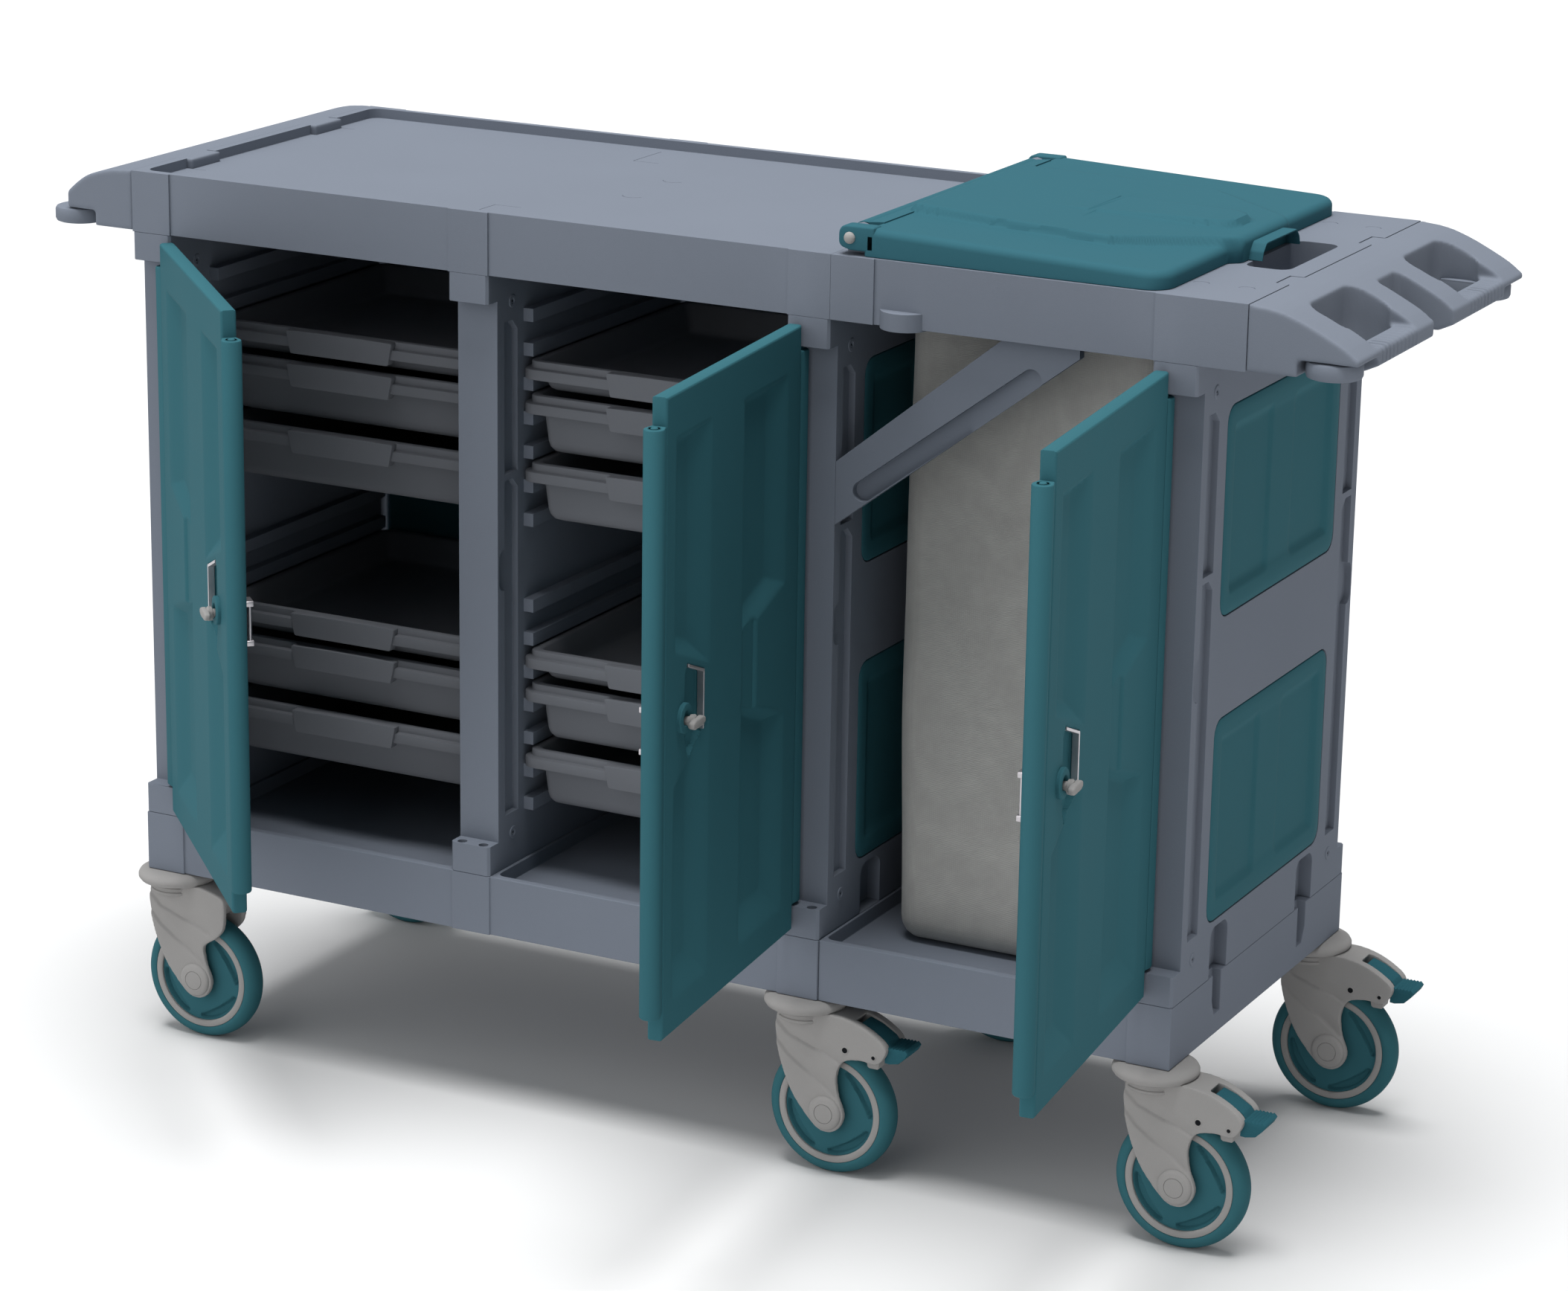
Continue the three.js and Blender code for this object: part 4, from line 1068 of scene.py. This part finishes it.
def bag_object():
    """A fabric liner hung by its hem: it bellies a little, creases near the top and sits on the base."""
    hem = bag_ring(0, 30)
    out = hem - ((BAG[0] + BAG[1]) / 2, (BAG[2] + BAG[3]) / 2)
    turn = np.arctan2(out[:, 1], out[:, 0])
    out = out / np.linalg.norm(out, axis=1)[:, None]
    rings = []
    for z in np.linspace(BAG_HIGH, BAG_LOW + BAG_ROUND, 74):
        t = (z - BAG_LOW) / (BAG_HIGH - BAG_LOW)
        belly = 5.0 * math.sin(math.pi * min(1, t * 1.05)) ** 1.5 - 2
        crease = (1.5 * np.sin(9 * turn + 3 * t) + 0.9 * np.sin(17 * turn - 5 * t)) * max(0, t - 0.45)
        wave = 0.8 * np.sin(4 * turn + 14 * t) * math.sin(math.pi * t)
        plan = hem + out * (belly + crease + wave)[:, None]
        rings.append(lifted(plan, "z", z))
    swell = plan - hem
    for degrees in (20, 40, 60, 80, 90):
        angle = math.radians(degrees)
        inset = BAG_ROUND * (1 - math.cos(angle))
        plan = bag_ring(inset, max(30 - inset, 4)) + swell * (1 - degrees / 90)
        rings.append(lifted(plan, "z", BAG_LOW + BAG_ROUND * (1 - math.sin(angle))))
    rings += [lifted(bag_ring(inset, 4), "z", BAG_LOW) for inset in (60, 100, 140)]
    points = np.array(rings)
    rows, cols = points.shape[:2]
    faces = strips(rows, cols, True) + [tuple((rows - 1) * cols + j for j in range(cols))]
    mesh = bpy.data.meshes.new("bag")
    mesh.from_pydata((points.reshape(-1, 3) * MM).tolist(), [], faces)
    obj = placed("laundry_bag_cloth", mesh)
    return finish_mesh(modified(obj, "SOLIDIFY", thickness=1.4 * MM, offset=0), 60)


bag = stand_for(bag_object(), "laundry_bag")


# ---- Console and end bar ----
GRIP_END = 1536
RIBS_START, RIBS_END, RIB_STEP, RIB_DEPTH = 62, 183, 11.6, 2.4
ROLLER_PLACES = {"left": -95, "right": 1527}
ROLLER_INSET = 28


def grip_ribs(plan, normals):
    """Ten rings round each grip bar, with grooves cut between them."""
    x, y, z = plan.T
    side = np.minimum(y, DEPTH - y)
    along = eased((side - RIBS_START) / 5) * eased((RIBS_END - side) / 5)
    on_bar = eased((x - GRIP_END - 1) / 4) * along
    ring = -np.clip(1.7 * np.cos(2 * np.pi * (side - RIBS_START) / RIB_STEP) - 0.6, 0, 1)
    return normals * (RIB_DEPTH * on_bar * ring)[:, None]


def soft_shell(node, voxel, rounds, shift=None):
    """A CAD node with every edge softened as in a blow moulding."""
    obj = remeshed(node_copy(node), voxel, rounds)
    if shift:
        moved(obj, shift, ORIGIN)
    return stand_for(finish_mesh(obj, 50), node)


soft_shell("handle_console", 1.9, 7, grip_ribs)
soft_shell("left_end_bar", 2.0, 6)

for end, x in ROLLER_PLACES.items():
    for row, y in (("front", ROLLER_INSET), ("rear", DEPTH - ROLLER_INSET)):
        node = f"bumper_roller_{row}_{end}"
        low, high = ends(node, "z")
        bore, rim = 6, (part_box(node)[1].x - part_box(node)[0].x) / MM / 2
        profile = [
            (bore, low + 1), (bore + 1, low), (rim - 4, low), (rim - 1.4, low + 1), (rim, low + 4),
            (rim, high - 4), (rim - 1.4, high - 1), (rim - 4, high), (bore + 1, high),
            (bore, high - 1), (bore, low + 1),
        ]
        piece = placed(node + "_shell", lathe_mesh(profile, "z", 64), (x, y, 0))
        stand_for(finish_mesh(piece, 35), node)


# ---- Inserts in the panels ----
INSERT_START = 93


def insert_level(y):
    """Depth of an insert's sunk field, with a flush-topped rib down its middle."""
    return -4.6 + 2.6 * eased((38 - np.abs(y - MID_Y)) / 4.5)


def insert_mesh(face, outward, low, high):
    """A rounded plate: a level border, a sloping wall round a sunk field, and the rib."""
    rings = []
    half = (high - low) / 2
    steps = [(3, -5.5), (0.7, -5.5), (0.7, -1.3), (1.1, -0.5), (1.9, 0), (12, 0), (21, 0), (23, -0.4)]
    steps += [(inset, None) for inset in np.append(np.arange(25, half, 4), half)]
    for inset, level in steps:
        corner = max(20 - inset * 0.55, 0) if inset < 36 else 0
        y, z = rounded_ring(INSERT_START + inset, DEPTH - INSERT_START - inset, low + inset,
                            high - inset, [corner] * 4, (120, 50), 5).T
        if level is None:
            level = insert_level(y) * eased((inset - 21) / 13)
        rings.append(np.stack([face + outward * (level + 0 * y), y, z], 1))
    rows, cols = len(rings), len(rings[0])
    return new_mesh(np.concatenate(rings), strips(rows, cols, True) + [tuple(range(cols))])


for stem, face, outward in (
    ("end_insert_left_", 0, -1), ("bag_bay_insert_", DECK_END, 1), ("end_insert_right_", POST_END, 1),
):
    for row in ("lower", "upper"):
        node = stem + row
        mesh = insert_mesh(face, outward, *ends(node, "z"))
        stand_for(finish_mesh(placed(node + "_shell", mesh), 40), node)


# ---- Braces of the bag bay ----
def make_braces():
    """A diagonal plate from the divider to the frame, with a round-ended slot sunk in its outer face."""
    outline = [
        (DECK_END + GAP, 787), (1235, 1014), (1235, RAIL_BOTTOM - GAP), (1146, RAIL_BOTTOM - GAP),
        (DECK_END + GAP, 861),
    ]
    (x0, z0), (x1, z1), radius = (974, 830), (1178, 984), 12
    lean = math.degrees(math.atan2(z1 - z0, x1 - x0))
    slot = np.concatenate([
        arc(x1, z1, radius, lean - 90, lean + 90, 12), arc(x0, z0, radius, lean + 90, lean + 270, 12),
    ])
    for node in ("brace_front", "brace_rear"):
        low, high = ends(node, "y")
        plate = pushed(outline, "y", low, high)
        plate.name = node + "_shell"
        span = (low - 1, low + 10) if node == "brace_front" else (high - 10, high + 1)
        cut_out(plate, pushed(slot, "y", *span))
        stand_for(finish_mesh(bevelled(plate, 1.5), level=True), node)


make_braces()


# ---- Deck, frame, base: their grooves and marks ----
def block(x0, x1, y0, y1, z0, z1):
    return pushed(corners(x0, x1, y0, y1), "z", z0, z1)


GROOVE_WIDTH, GROOVE_DEPTH = 0.9, 0.8


def arc_groove(x, y, z, start, end, radius=10):
    """A cutter for part of a circle's outline on a level face."""
    outer = arc(x, y, radius, start, end, 15)
    inner = arc(x, y, radius - GROOVE_WIDTH, start, end, 15)
    return pushed(np.concatenate([outer, inner[::-1]]), "z", z - GROOVE_DEPTH, z + 1)


def line_grooves(points, z):
    """Cutters for a thin line through points on a level face."""
    half = GROOVE_WIDTH / 2
    return [
        block(min(ax, bx) - half, max(ax, bx) + half, min(ay, by) - half, max(ay, by) + half,
              z - GROOVE_DEPTH, z + 1)
        for (ax, ay), (bx, by) in zip(points, points[1:])
    ]


FIELD = DECK_TOP - 12
deck_marks = [arc_groove(558, 236, FIELD, 200, 340, 14), arc_groove(553, 345, FIELD, 200, 340, 14)]
for line in (
    [(447, 30), (447, 101), (482, 101)], [(447, DEPTH - 30), (447, DEPTH - 101), (482, DEPTH - 101)],
    [(14, 100), (39, 100)], [(14, DEPTH - 100), (39, DEPTH - 100)],
):
    deck_marks += line_grooves(line, FIELD)
crisp_shell("deck_top", 1.8, deck_marks)
frame_marks = [arc_groove(x, y, DECK_TOP, 20, 170) for x in (1352, 1405) for y in (73, DEPTH - 73)]
crisp_shell("bag_frame_top", 1.6, frame_marks)


def rail_lips(bays):
    """The thin lips over and under the base's front and rear rails, to be cut away."""
    return [
        block(bay * PITCH + BLOCK, (bay + 1) * PITCH, y0, y1, 200, BASE_TOP + 1)
        for bay in bays for y0, y1 in ((-1, 2.5), (DEPTH - 2.5, DEPTH + 1))
    ]


crisp_shell("base_main", 1.4, rail_lips((0, 1)))
crisp_shell("base_bag", 1.4, rail_lips((2,)))


# ---- Walls between the console's grip holes and its rollers ----
SHIELD_START, SHIELD_END = 1486, 1533


def make_shields():
    """A thin step at the foot of each grip hole, which hides the roller from the hand."""
    parts = []
    for front in (True, False):
        for y0, y1, z0, z1 in ((60.5, 64, 1026, 1050), (54, 64, 1048.5, 1051)):
            span = (y0, y1) if front else (DEPTH - y1, DEPTH - y0)
            parts.append(bevelled(block(SHIELD_START, SHIELD_END, *span, z0, z1), 0.8))
    place_piece(finish_mesh(joined("roller_shields", parts)), "root", "frame_grey")


make_shields()


# ---- Screws and their bosses ----
BOSS_INSET = 56


def make_bosses():
    """A low ring with a sunk screw by each corner of the panels' faces; the screw heads are near-black,
    painted shade of their sunk holes.
    """
    rings, screws = [], []
    faces = [(bay * PITCH + (BLOCK if way > 0 else 0), way) for bay in range(4) for way in (-1, 1)]
    for x, way in faces:
        for y in (BOSS_INSET, DEPTH - BOSS_INSET):
            for z in (CAP_BOTTOM - 5, FOOT_TOP + 4):
                rings.append(turned([
                    (3.2, -way * 2), (8, -way * 2), (8, way * 0.3), (7.2, way * 1.0),
                    (4.0, way * 1.0), (3.2, way * 0.4), (3.2, -way * 2)], "x", 28, (x, y, z)))
                screws.append(turned([
                    (0, -way * 2), (3.2, -way * 2), (3.2, -way * 0.2), (0, way * 0.15)],
                    "x", 20, (x, y, z)))
    place_piece(finish_mesh(joined("screw_bosses", rings)), "root", "frame_grey")
    # Screw heads in near-black painted shade.
    place_piece(finish_mesh(joined("screw_heads", screws)), "root", "painted_shade")


make_bosses()

# ---- Shells that follow their CAD nodes ----
EDGE = {"frame_grey": 1.6, "teal_panel": 1.5}
replaced = {n for o in bpy.data.objects for n in o.get("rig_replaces", [])}
for node in sorted(set(frame["nodes"]) - replaced):
    crisp_shell(node, EDGE[SLOT_OF[node]])
